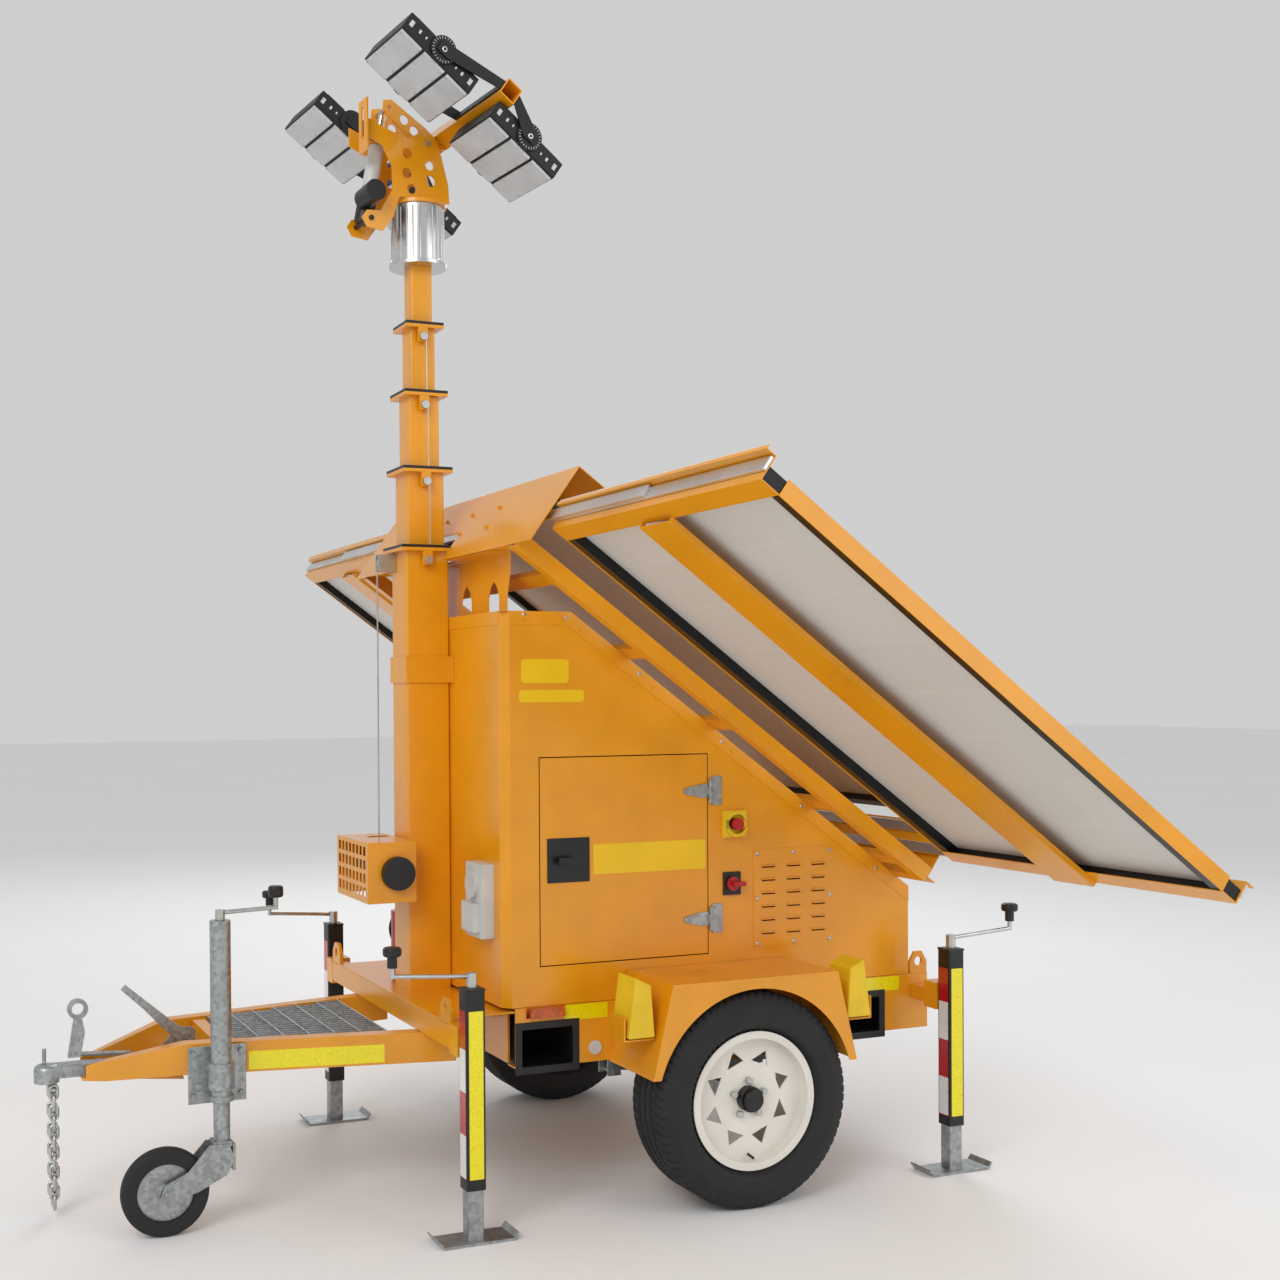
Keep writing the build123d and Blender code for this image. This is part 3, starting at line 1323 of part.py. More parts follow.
def jockey_fork():
    """Inner tube, fork cheeks and axle of the jockey wheel."""
    r = jockey_inner_radius
    tube = pipe((jockey_x, jockey_y, 196), (jockey_x, jockey_y, 600), r, r - 3)
    wheel_x = jockey_x - jockey_trail
    axle_z = jockey_wheel_radius
    cheek_y = jockey_wheel_width / 2 + 4
    items = []
    for sy in (-1, 1):
        y0, y1 = sorted((jockey_y + sy * cheek_y, jockey_y + sy * (cheek_y + 4)))
        cheek = plate_xz(
            [(wheel_x - 22, axle_z - 16), (wheel_x + 20, axle_z - 22), (wheel_x + 90, axle_z - 4),
             (jockey_x + 8, 160), (jockey_x + 30, 205), (jockey_x + 14, 248), (jockey_x - 42, 250),
             (wheel_x + 60, axle_z + 55), (wheel_x - 4, axle_z + 26)], y0, y1,
        )
        items.append(cheek)
    bridge = block(jockey_x - 30, jockey_x + 24, jockey_y - cheek_y, jockey_y + cheek_y, 240, 256)
    axle = rod((wheel_x, jockey_y - cheek_y - 14, axle_z), (wheel_x, jockey_y + cheek_y + 14, axle_z),
               8)
    lever = block(jockey_x + 26, jockey_x + 34, jockey_y - 26, jockey_y + 26, 170, 245)
    fork = tube + items[0] + items[1] + bridge + axle
    return group([fork, lever])


def jockey_wheel():
    """Rubber-tyred jockey wheel with a dished centre."""
    x = jockey_x - jockey_trail
    z = jockey_wheel_radius
    half = jockey_wheel_width / 2
    tyre = pipe((x, jockey_y - half, z), (x, jockey_y + half, z), jockey_wheel_radius, 82)
    rims = tyre.edges().filter_by(GeomType.CIRCLE)
    tyre = fillet([e for e in rims if abs(e.radius - jockey_wheel_radius) < 0.1], 14)
    centre = pipe((x, jockey_y - 12, z), (x, jockey_y + 12, z), 82, 8 + pin_clearance)
    hub = pipe((x, jockey_y - half + 2, z), (x, jockey_y + half - 2, z), 22, 8 + pin_clearance)
    return group([tyre, centre + hub])


def coupling_body():
    """Cast coupling over a 50 mm ball, with its mounting plate and lever bracket."""
    z0 = drawbar_nose_bottom_z + 8
    w = coupling_half_width
    nose = rod((coupling_nose_x + 37, 0, z0 - 14), (coupling_nose_x + 37, 0, z0 + 38), 37)
    nose = fillet(nose.edges().group_by(Axis.Z)[-1], 16)
    shank = block(coupling_nose_x + 37, coupling_rear_x, -w, w, z0, z0 + 34)
    body = nose + shank
    body -= Pos(coupling_nose_x + 37, 0, ball_z - 8) * Sphere(ball_radius + ball_clearance)
    body -= rod((coupling_nose_x + 37, 0, z0 - 20), (coupling_nose_x + 37, 0, ball_z - 8), 24)
    base = block(-1840, coupling_rear_x, -52, 52, z0 + 0.01, z0 + 10)
    grease = rod((coupling_nose_x + 30, 0, z0 + 36), (coupling_nose_x + 30, 0, z0 + 84), 6)
    brake_cheek = plate_xz(
        [(-1660, z0), (-1500, z0), (-1500, 512), (-1520, 524), (-1556, 520)], 14, 20,
    )
    quadrant = group([brake_cheek, block(-1700, -1480, -40, 40, z0, z0 + 6)])
    return group([body + base + grease] + list(quadrant.solids()))


handbrake_pin = (-1536.0, 501.0)


def handbrake_lever():
    """Ratchet handbrake lever."""
    px, pz = handbrake_pin
    lever = plate_xz(
        [(px + 14, pz - 14), (px + 16, pz + 8), (px - 30, pz + 38), (px - 176, pz + 164),
         (px - 190, pz + 150), (px - 120, pz + 84), (px - 60, pz + 18), (px - 14, pz - 16)],
        2, 12,
    )
    pin = rod((px, -4, pz), (px, 13.7, pz), 7)
    return lever + pin


latch_pin = (-1868.0, 478.0)


def coupling_latch():
    """Coupling locking lever with its grip loop and link rod."""
    px, pz = latch_pin
    stem = plate_xz(
        [(px - 16, pz - 14), (px + 20, pz - 14), (px + 34, pz + 60), (px + 24, pz + 108),
         (px + 4, pz + 108), (px - 4, pz + 60)], -10, 10,
    )
    loop = pipe((px + 14, -9, pz + 128), (px + 14, 9, pz + 128), 30, 18)
    link = rod((px + 20, 0, pz - 6), (-1700, 0, 462), 7)
    pivot = rod((px, -13, pz), (px, 13, pz), 6)
    return group([stem + loop + pivot, link])


def chain_link(radius, wire, half_straight):
    """One link, long axis along Z."""
    side = rod((radius, 0, -half_straight), (radius, 0, half_straight), wire)
    other = rod((-radius, 0, -half_straight), (-radius, 0, half_straight), wire)
    profile = Plane(origin=(radius, 0, half_straight), z_dir=(0, 0, 1)) * Circle(wire)
    bend = revolve(profile, Axis((0, 0, half_straight), (0, 1, 0)), -180)
    low = mirror(bend, about=Plane.XY)
    return side + other + bend + low


chain_x = -1928.0
chain_top_z = 390.0
chain_links = 12
link_gap = 0.6
hanger_drop = 10.0                # hanger below the top of the chain
hanger_clearance = 8.2            # stub's end below the drawbar nose


def safety_chains():
    """Two hanging strands of welded links."""
    wire = 5.0
    radius = 11.0
    half_straight = 9.0
    pitch = 2 * (half_straight + radius - wire) - link_gap
    items = []
    for y in (-20.0, 20.0):
        for i in range(chain_links):
            link = chain_link(radius, wire, half_straight)
            if i % 2:
                link = Rot(0, 0, 90) * link
            z = chain_top_z - 20 - i * pitch
            items.append(Pos(chain_x, y, z) * link)
    hanger_z = chain_top_z - hanger_drop
    hanger = rod((chain_x, -34, hanger_z), (chain_x, 34, hanger_z), 4.6)
    hanger += rod((chain_x, 0, hanger_z), (chain_x, 0, drawbar_nose_bottom_z - hanger_clearance), 4.6)
    items.append(hanger)
    return group(items)


def cabinet_switch_button():
    """Red mushroom stop button."""
    stem = rod((estop_x, side_y - 4.2, estop_z), (estop_x, side_y - 20, estop_z), 11)
    head = rod((estop_x, side_y - 20, estop_z), (estop_x, side_y - 34, estop_z), 19)
    return stem + head


def isolator_knob():
    """Red turning handle of the battery isolator."""
    shaft = rod((isolator_x, side_y - 0.3, isolator_z), (isolator_x, side_y - 12, isolator_z), 9)
    dial = rod((isolator_x, side_y - 8, isolator_z), (isolator_x, side_y - 16, isolator_z), 22)
    grip = block(isolator_x - 8, isolator_x + 34, side_y - 34, side_y - 16, isolator_z - 7,
                 isolator_z + 7)
    return shaft + dial + grip


# ---------------------------------------------------------------- assembly
nodes = {
    "chassis_frame": chassis_frame(),
    "fork_pockets": fork_pockets(),
    "outrigger_beams": outrigger_beams(),
    "drawbar_rails": drawbar_rails(),
    "drawbar_grating": drawbar_grating(),
    "axle_and_springs": axle_and_springs(),
    "wheel_left": wheel(-1),
    "wheel_right": wheel(1),
    "mudguards": group(both_sides(mudguard())),
    "wheel_chocks": group(
        [piece for x in (-330.0, 330.0) for side in (1, -1) for piece in chock_set(x, side)]
    ),
    "cabinet_shell": cabinet_shell(),
    "cabinet_cover": cabinet_cover(),
    "louvre_panels": louvre_panels(),
    "cabinet_door": cabinet_door(),
    "door_hinges": door_hinges(),
    "door_latch": door_latch(),
    "side_fittings": side_fittings(),
    "stop_button": cabinet_switch_button(),
    "isolator_knob": isolator_knob(),
    "battery_bank": battery_bank(),
    "fire_extinguisher": fire_extinguisher(),
    "panel_tray": panel_tray(),
    "ridge_cap": ridge_cap(),
    "ridge_bracket": ridge_bracket(),
    "centre_panel": centre_panel(),
    "wing_left": wing(0.0, wing_depth),
    "wing_right": mirrored(wing(wing_pitch, wing_pitch + wing_depth + 10)),
    "slides_left": middle_slides(0.0),
    "slides_right": mirrored(middle_slides(wing_pitch)),
    "mast_base": mast_base(),
    "winch_box": winch_box(),
    "winch_rope": winch_rope(),
    "rotator_drum": rotator_drum(),
    "head_bracket": head_bracket(),
    "actuator_body": actuator_body(),
    "actuator_rod": actuator_rod(),
    "lamp_bar": lamp_bar(),
    "lamps": lamps(),
    "jack_tubes": jack_tubes(),
    "jockey_bracket": jockey_bracket(),
    "jockey_tube": jockey_tube(),
    "jockey_crank": jockey_crank(),
    "jockey_fork": jockey_fork(),
    "jockey_wheel": jockey_wheel(),
    "coupling_body": coupling_body(),
    "handbrake_lever": handbrake_lever(),
    "coupling_latch": coupling_latch(),
    "safety_chains": safety_chains(),
}
for index in range(1, 5):
    nodes[f"mast_section_{index + 1}"] = mast_section(index)
for end, x, reach in (("front", jack_front_x, -crank_length), ("rear", jack_rear_x, crank_length)):
    leg = jack_leg_piece(x)
    crank = jack_crank_piece(x, reach)
    nodes[f"jack_leg_{end}_right"] = leg
    nodes[f"jack_leg_{end}_left"] = mirrored(leg)
    nodes[f"jack_crank_{end}_right"] = crank
    nodes[f"jack_crank_{end}_left"] = mirrored(crank)

front_x = coupling_nose_x
rear_x = jack_rear_x + crank_length + knob_radius
origin_x = (front_x + rear_x) / 2


def main():
    """Writes every node as one STEP file, with X measured from the machine's middle."""
    os.makedirs("parts", exist_ok=True)
    for name, shape in nodes.items():
        placed = shape.moved(Location((-origin_x, 0, 0)))
        export_step(placed, f"parts/{name}.step")


main()
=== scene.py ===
"""Looks of the solar lighting tower trailer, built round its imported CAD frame."""
import json
import math

import bmesh
import bpy
import numpy as np
from mathutils import Matrix, Vector


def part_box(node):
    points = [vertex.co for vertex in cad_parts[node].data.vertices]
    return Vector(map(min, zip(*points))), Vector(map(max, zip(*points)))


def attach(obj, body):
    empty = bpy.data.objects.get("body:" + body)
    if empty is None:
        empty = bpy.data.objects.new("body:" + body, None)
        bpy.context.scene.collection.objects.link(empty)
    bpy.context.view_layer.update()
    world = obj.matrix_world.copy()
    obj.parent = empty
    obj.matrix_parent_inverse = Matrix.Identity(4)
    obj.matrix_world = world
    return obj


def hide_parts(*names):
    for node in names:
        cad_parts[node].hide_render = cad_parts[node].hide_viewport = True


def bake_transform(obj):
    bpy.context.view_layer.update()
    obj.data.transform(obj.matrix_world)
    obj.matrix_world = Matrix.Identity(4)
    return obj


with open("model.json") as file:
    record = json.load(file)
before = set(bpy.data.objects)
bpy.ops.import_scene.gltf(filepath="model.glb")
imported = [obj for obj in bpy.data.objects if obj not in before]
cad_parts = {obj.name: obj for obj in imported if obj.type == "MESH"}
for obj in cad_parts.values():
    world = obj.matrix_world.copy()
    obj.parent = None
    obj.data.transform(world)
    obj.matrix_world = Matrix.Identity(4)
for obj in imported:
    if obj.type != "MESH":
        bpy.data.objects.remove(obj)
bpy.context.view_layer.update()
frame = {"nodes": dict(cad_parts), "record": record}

bl_info = {
    "name": "Lighting tower trailer",
    "version": (1, 0, 0),
    "blender": (4, 5, 0),
    "location": "View3D > Sidebar > Trailer",
    "description": "Builds the trailer's finished surfaces round its CAD frame",
    "category": "Object",
}

MM = 0.001
FREE = "free"
SMOOTH_DEG = 32.0                    # faces that meet flatter than this are shaded smooth
BEVEL_ANGLE = math.radians(38)       # edges sharper than this are rounded
FLAT_ANGLE = math.radians(0.4)       # triangles this flat to one another become one face
WELD = 2e-6                          # vertices closer than this are one
ROUGH_SPREAD = 0.08                  # how far a finish's gloss wanders either way
LAY_GAP = 0.0001                     # film and plates stand this far off the wall under them
TAPE_THICK = 0.0006
PLATE_THICK = 0.0008
CORNERS = ((-1, -1), (1, -1), (1, 1), (-1, 1))
RECORD = frame["record"]
BODY_OF = {n: b for b, nodes in RECORD["behaviour"]["bodies"].items() for n in nodes}


# ------------------------------------------------------------------ sizes and colours
class TrailerFinish(bpy.types.PropertyGroup):
    """Colours and small sizes that a user may change."""

    paint: bpy.props.FloatVectorProperty(
        name="Paint", description="Powder-coat colour of the bodywork, sRGB",
        subtype="COLOR_GAMMA", size=3, min=0, max=1, default=(0.905, 0.600, 0.004))
    rim: bpy.props.FloatVectorProperty(
        name="Rims", description="Colour of the painted wheel rims, sRGB",
        subtype="COLOR_GAMMA", size=3, min=0, max=1, default=(0.90, 0.885, 0.85))
    edge: bpy.props.FloatProperty(
        name="Edge radius", description="Rounding of folded and cut edges",
        subtype="DISTANCE", unit="LENGTH", min=0.0002, max=0.004, default=0.0011)
    cell: bpy.props.FloatProperty(
        name="Solar cell", description="Pitch of the solar cells",
        subtype="DISTANCE", unit="LENGTH", min=0.08, max=0.22, default=0.160)
    rope: bpy.props.FloatProperty(
        name="Mast rope", description="Radius of the wire ropes between mast sections",
        subtype="DISTANCE", unit="LENGTH", min=0.001, max=0.004, default=0.002)


class TrailerStage(bpy.types.PropertyGroup):
    """Camera, floor and lights."""

    place: bpy.props.FloatVectorProperty(
        name="Camera place", description="Where the camera stands",
        subtype="TRANSLATION", unit="LENGTH", size=3, default=(-2.0081, -4.6575, 1.5376))
    yaw: bpy.props.FloatProperty(
        name="Yaw", description="Camera heading, from +Y towards +X",
        subtype="ANGLE", unit="ROTATION", default=math.radians(21.6))
    pitch: bpy.props.FloatProperty(
        name="Pitch", description="Camera pitch above the horizon",
        subtype="ANGLE", unit="ROTATION", default=math.radians(-0.7))
    roll: bpy.props.FloatProperty(
        name="Roll", description="Camera roll",
        subtype="ANGLE", unit="ROTATION", default=math.radians(-0.4))
    lens: bpy.props.FloatProperty(
        name="Lens", description="Focal length on a 36 mm sensor", min=10, max=200, default=43.41)
    shift_x: bpy.props.FloatProperty(
        name="Shift X", description="Lens shift across", min=-1, max=1, default=0.141)
    shift_y: bpy.props.FloatProperty(
        name="Shift Y", description="Lens shift up", min=-1, max=1, default=0.055)
    floor_size: bpy.props.FloatProperty(
        name="Floor", description="Side of the floor", subtype="DISTANCE", unit="LENGTH",
        min=10, max=200, default=90)


# ------------------------------------------------------------------ materials
def linear(colour):
    """Linear colour from an sRGB hex string or a triple of sRGB values."""
    if isinstance(colour, str):
        colour = [int(colour[i:i + 2], 16) / 255 for i in (1, 3, 5)]
    return [c / 12.92 if c <= 0.04045 else ((c + 0.055) / 1.055) ** 2.4 for c in colour] + [1.0]


def add(tree, kind, links=None, **settings):
    """Adds one node, sets its inputs or properties and links named inputs."""
    node = tree.nodes.new(kind)
    for key, value in settings.items():
        if key in node.inputs:
            node.inputs[key].default_value = value
        else:
            setattr(node, key, value)
    for key, source in (links or {}).items():
        tree.links.new(source, node.inputs[key])
    return node


def per_mm(size):
    """Texture scale, in repeats a metre, of a pattern with this size in millimetres."""
    return 1000.0 / size


def start_material(name):
    """Empty node material with its output; returns the material, tree and object coordinates."""
    material = bpy.data.materials.new(name)
    material.use_nodes = True
    tree = material.node_tree
    tree.nodes.clear()
    place = add(tree, "ShaderNodeTexCoord").outputs["Object"]
    return material, tree, place


def close_material(tree, shader):
    """Sends the shader to the material's output."""
    add(tree, "ShaderNodeOutputMaterial", {"Surface": shader.outputs[0]})


def tint(tree, factor, low, high, start=0.35, end=0.65):
    """Colour that runs from low to high as the factor runs from start to end."""
    ramp = add(tree, "ShaderNodeValToRGB", {"Fac": factor})
    ramp.color_ramp.elements[0].position = start
    ramp.color_ramp.elements[0].color = low
    ramp.color_ramp.elements[1].position = end
    ramp.color_ramp.elements[1].color = high
    return ramp.outputs["Color"]


def ranged(tree, value, to_low, to_high, low=0.0, high=1.0):
    """Value carried from the range low to high into the range to_low to to_high."""
    node = add(tree, "ShaderNodeMapRange", {"Value": value})
    for key, number in (("From Min", low), ("From Max", high),
                        ("To Min", to_low), ("To Max", to_high)):
        node.inputs[key].default_value = number
    return node.outputs["Result"]


def laid_over(tree, factor, below, colour):
    """Colour with another colour laid over it by a factor."""
    mixed = add(tree, "ShaderNodeMix", {"Factor": factor}, data_type="RGBA")
    tree.links.new(below, mixed.inputs[6])
    mixed.inputs[7].default_value = colour
    return mixed.outputs[2]


def brick_grid(tree, place, width, height, gap, one, two, between):
    """Straight rows of bricks in two colours, with a third colour in the gaps."""
    grid = add(tree, "ShaderNodeTexBrick", {"Vector": place}, Scale=1.0, offset=0.0, squash=1.0,
               Color1=one, Color2=two, Mortar=between)
    for key, number in (("Brick Width", width), ("Row Height", height), ("Mortar Size", gap)):
        grid.inputs[key].default_value = number
    return grid.outputs["Color"]


def scaled(colour, share):
    """A linear colour made lighter or darker."""
    return [min(1.0, c * share) for c in colour[:3]] + [1.0]


def finish_surface(name, colour, roughness, metallic=0.0, grain_mm=3.0, bump=0.05, depth_mm=0.1,
                   spread=0.08, cloud_mm=160.0, coat=0.0, stretch=(1, 1, 1), extra=None):
    """General finish: clouded colour, varied gloss and a fine relief of the given grain."""
    material, tree, place = start_material(name)
    base = linear(colour)
    cloud = add(tree, "ShaderNodeTexNoise", {"Vector": place}, Scale=per_mm(cloud_mm), Detail=5.0)
    colour_out = tint(tree, cloud.outputs["Fac"], scaled(base, 1 - spread), scaled(base, 1 + spread))
    fine_place = add(tree, "ShaderNodeMapping", {"Vector": place}, Scale=stretch)
    grain = add(tree, "ShaderNodeTexNoise", {"Vector": fine_place.outputs["Vector"]},
                Scale=per_mm(grain_mm), Detail=3.0)
    gloss = ranged(tree, cloud.outputs["Fac"], max(0.02, roughness - ROUGH_SPREAD),
                   min(1.0, roughness + ROUGH_SPREAD))
    relief = add(tree, "ShaderNodeBump", {"Height": grain.outputs["Fac"]}, Strength=bump,
                 Distance=depth_mm * MM)
    links = {"Base Color": colour_out, "Roughness": gloss, "Normal": relief.outputs["Normal"]}
    shader = add(tree, "ShaderNodeBsdfPrincipled", links, Metallic=metallic)
    if coat:
        shader.inputs["Coat Weight"].default_value = coat
        shader.inputs["Coat Roughness"].default_value = 0.12
    if extra:
        extra(tree, place, shader, base)
    close_material(tree, shader)
    return material


def powder_coat():
    """Polyester powder coat: slight orange peel, deep gloss and a speckled grey-brown tint that is
    stronger towards the bottom.
    """
    paint = bpy.context.scene.trailer_finish.paint

    # Speckled grey-brown laid over the paint: up to 16 % below 0.35 m, fading out by 0.75 m, so
    # darker towards the bottom.
    def low_tint(tree, place, shader, base):
        split = add(tree, "ShaderNodeSeparateXYZ", {"Vector": place})
        low = ranged(tree, split.outputs["Z"], 0.16, 0.0, 0.35, 0.75)
        speck = add(tree, "ShaderNodeTexNoise", {"Vector": place}, Scale=per_mm(35), Detail=8.0)
        amount = add(tree, "ShaderNodeMath", {0: low, 1: speck.outputs["Fac"]},
                     operation="MULTIPLY")
        before = shader.inputs["Base Color"].links[0].from_socket
        mottled = laid_over(tree, amount.outputs[0], before, linear("#8A7F6C"))
        tree.links.new(mottled, shader.inputs["Base Color"])

    return finish_surface("powder_coated_steel_yellow", tuple(paint), 0.3, grain_mm=2.4, bump=0.06,
                          depth_mm=0.12, spread=0.05, coat=0.35, extra=low_tint)


def black_powder_coat():
    """Black powder coat on tube: satin, with pale scuffs."""
    return finish_surface("powder_coated_steel_black", "#161616", 0.42, grain_mm=1.6, bump=0.08,
                          spread=0.35, cloud_mm=60)


def galvanised():
    """Hot-dip galvanised steel: pale grey spangle about 12 mm across."""
    def spangle(tree, place, shader, base):
        cells = add(tree, "ShaderNodeTexVoronoi", {"Vector": place}, Scale=per_mm(12))
        out = tint(tree, cells.outputs["Color"], scaled(base, 0.78), scaled(base, 1.12), 0.2, 0.8)
        tree.links.new(out, shader.inputs["Base Color"])

    return finish_surface("galvanised_steel_spangled", "#A9ADAE", 0.42, 0.85, grain_mm=4, bump=0.05,
                          spread=0.12, cloud_mm=25, extra=spangle)


def zinc_plate():
    """Bright zinc plate on rods, chain and screws: cool, quite glossy."""
    return finish_surface("zinc_plated_steel", "#C2C4C2", 0.3, 1.0, grain_mm=1.5, bump=0.04,
                          spread=0.1, cloud_mm=30)


def stainless():
    """Brushed stainless sheet rolled round the drum: lines round the axis, 0.6 mm apart."""
    return finish_surface("stainless_steel_brushed", "#CFD0D0", 0.26, 1.0, grain_mm=3,
                          bump=0.05, spread=0.06, stretch=(0.15, 0.15, 3.0))


def mill_aluminium():
    """Extruded aluminium slide rail: straight die lines along its length."""
    return finish_surface("extruded_aluminium", "#D6D8DA", 0.32, 1.0, grain_mm=2, bump=0.06,
                          spread=0.06, stretch=(3.0, 0.06, 3.0))


def black_anodised():
    """Black anodised aluminium panel frame: dark, silky sheen."""
    return finish_surface("anodised_aluminium_black", "#0E0F10", 0.35, 0.3, grain_mm=1.2, bump=0.04,
                          spread=0.2)


def cast_black():
    """Die-cast lamp housing, black polyester coat with a fine sandy texture."""
    return finish_surface("die_cast_aluminium_black", "#121314", 0.5, 0.1, grain_mm=0.9, bump=0.16,
                          depth_mm=0.15, spread=0.2)


def tyre_rubber():
    """Vulcanised tyre rubber: dark grey, dusty in patches."""
    return finish_surface("vulcanised_rubber", "#1D1D1E", 0.72, grain_mm=1.5, bump=0.12,
                          depth_mm=0.2, spread=0.22, cloud_mm=70)


def rim_paint():
    """Cream wheel enamel over pressed steel: soft gloss."""
    rim = bpy.context.scene.trailer_finish.rim
    return finish_surface("enamelled_pressed_steel_cream", tuple(rim), 0.35, grain_mm=2.5,
                          bump=0.04, spread=0.05, coat=0.25)


def moulded(name, colour, roughness=0.4):
    """Injection-moulded plastic with a light spark-eroded grain."""
    return finish_surface(name, colour, roughness, grain_mm=0.8, bump=0.1, spread=0.06, cloud_mm=80)


def backsheet():
    """Polymer backsheet of a solar panel: warm white film with faint cell shadows."""
    def shadows(tree, place, shader, base):
        cells = brick_grid(tree, place, 0.160, 0.160, 0.002, scaled(base, 0.97), base,
                           scaled(base, 1.05))
        tree.links.new(cells, shader.inputs["Base Color"])

    return finish_surface("laminated_backsheet_white", "#D8D6D0", 0.45, grain_mm=3, bump=0.05,
                          spread=0.02, extra=shadows)


def solar_glass():
    """Tempered glass over mono-crystalline cells: blue-black squares, pale gaps and busbars."""
    cell = bpy.context.scene.trailer_finish.cell
    material, tree, _ = start_material("tempered_glass_over_cells")
    uv = add(tree, "ShaderNodeUVMap").outputs["UV"]
    black = (0, 0, 0, 1)
    grid = brick_grid(tree, uv, cell, cell, 0.0016, linear("#0B1226"), linear("#0E1730"),
                      linear("#9AA3AD"))
    bars = brick_grid(tree, uv, 4.0, cell / 5, 0.0006, black, black, (0.32, 0.34, 0.36, 1))
    both = add(tree, "ShaderNodeMix", data_type="RGBA", blend_type="ADD")
    both.inputs["Factor"].default_value = 1.0
    tree.links.new(grid, both.inputs[6])
    tree.links.new(bars, both.inputs[7])
    shader = add(tree, "ShaderNodeBsdfPrincipled", {"Base Color": both.outputs[2]}, Roughness=0.12)
    shader.inputs["Coat Weight"].default_value = 0.6
    close_material(tree, shader)
    return material


def tape(name, colour, stripe=None):
    """Retroreflective tape: bright film printed with a 9 mm honeycomb, or red and white blocks."""
    material, tree, place = start_material(name)
    base = linear(colour)
    cells = add(tree, "ShaderNodeTexVoronoi", {"Vector": place}, Scale=per_mm(9),
                feature="DISTANCE_TO_EDGE")
    out = tint(tree, cells.outputs["Distance"], scaled(base, 0.8), base, 0.02, 0.08)
    if stripe:
        split = add(tree, "ShaderNodeSeparateXYZ", {"Vector": place})
        wave = add(tree, "ShaderNodeMath", {0: split.outputs["Z"]}, operation="PINGPONG")
        wave.inputs[1].default_value = 0.12
        step = add(tree, "ShaderNodeMath", {0: wave.outputs[0]}, operation="GREATER_THAN")
        step.inputs[1].default_value = 0.06
        out = laid_over(tree, step.outputs[0], out, linear(stripe))
    shader = add(tree, "ShaderNodeBsdfPrincipled", {"Base Color": out}, Roughness=0.25)
    shader.inputs["Coat Weight"].default_value = 0.5
    close_material(tree, shader)
    return material


def clear_lens(name, colour, roughness=0.12):
    """Moulded polycarbonate lens over bright optics: pale, glossy, slightly see-through."""
    material, tree, place = start_material(name)
    base = linear(colour)
    cells = add(tree, "ShaderNodeTexVoronoi", {"Vector": place}, Scale=per_mm(14))
    out = tint(tree, cells.outputs["Distance"], scaled(base, 1.15), scaled(base, 0.62), 0.15, 0.7)
    shader = add(tree, "ShaderNodeBsdfPrincipled", {"Base Color": out}, Roughness=roughness)
    shader.inputs["Transmission Weight"].default_value = 0.15
    shader.inputs["Coat Weight"].default_value = 0.5
    close_material(tree, shader)
    return material


MATERIALS = {}


def make_materials():
    """Makes every finish once."""
    MATERIALS.update(
        yellow=powder_coat(), black=black_powder_coat(), galv=galvanised(), zinc=zinc_plate(),
        stainless=stainless(), rail=mill_aluminium(), frame=black_anodised(), cast=cast_black(),
        tyre=tyre_rubber(), rim=rim_paint(), abs_black=moulded("moulded_abs_black", "#141415"),
        abs_red=moulded("moulded_abs_red", "#B3140F", 0.3),
        abs_grey=moulded("moulded_abs_grey", "#C9C9C5"),
        chock=moulded("moulded_polyethylene_yellow", "#E8C21C", 0.5),
        red=finish_surface("enamelled_steel_red", "#B01512", 0.25, coat=0.5, spread=0.05),
        back=backsheet(), cells=solar_glass(),
        tape_yellow=tape("retroreflective_tape_yellow", "#F4E400"),
        tape_red=tape("retroreflective_tape_red_white", "#E9E9E9", "#B5121B"),
        lens=moulded("moulded_polycarbonate_diffuse", "#C9CCCE", 0.18),
        optic=clear_lens("moulded_polycarbonate_clear", "#DFE3E6"),
        amber=clear_lens("moulded_polycarbonate_amber", "#E2600A", 0.2),
        plate=finish_surface("printed_vinyl_yellow", "#F2C500", 0.35, spread=0.03),
        chrome=finish_surface("chromed_steel", "#D8D8D8", 0.08, 1.0, spread=0.03),
    )


# ------------------------------------------------------------------ mesh helpers
def new_piece(name, verts, faces, material, node, smooth_deg=SMOOTH_DEG, body=None):
    """Mesh object from arrays with the given finish in its material slot; it takes the CAD node's
    body.
    """
    mesh = bpy.data.meshes.new(name)
    mesh.from_pydata([tuple(v) for v in np.asarray(verts, float).tolist()], [],
                     [tuple(f) for f in faces])
    mesh.validate()
    mesh.update()
    obj = bpy.data.objects.new(name, mesh)
    bpy.context.scene.collection.objects.link(obj)
    mesh.materials.append(MATERIALS[material])
    mesh.polygons.foreach_set("use_smooth", np.ones(len(mesh.polygons), bool))
    mesh.set_sharp_from_angle(angle=math.radians(smooth_deg))
    if body != FREE:
        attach(obj, body or BODY_OF[node])
    return obj


def node_arrays(node):
    """A CAD node's merged vertices and triangles."""
    mesh = frame["nodes"][node].data
    co = np.empty(len(mesh.vertices) * 3, np.float32)
    mesh.vertices.foreach_get("co", co)
    mesh.calc_loop_triangles()
    tri = np.empty(len(mesh.loop_triangles) * 3, np.int32)
    mesh.loop_triangles.foreach_get("vertices", tri)
    key = np.round(co.reshape(-1, 3) / WELD).astype(np.int64)
    _, first, back = np.unique(key, axis=0, return_index=True, return_inverse=True)
    tri = back.reshape(-1)[tri].reshape(-1, 3)
    keep = (tri[:, 0] != tri[:, 1]) & (tri[:, 1] != tri[:, 2]) & (tri[:, 0] != tri[:, 2])
    return co.reshape(-1, 3)[first].astype(float), tri[keep]


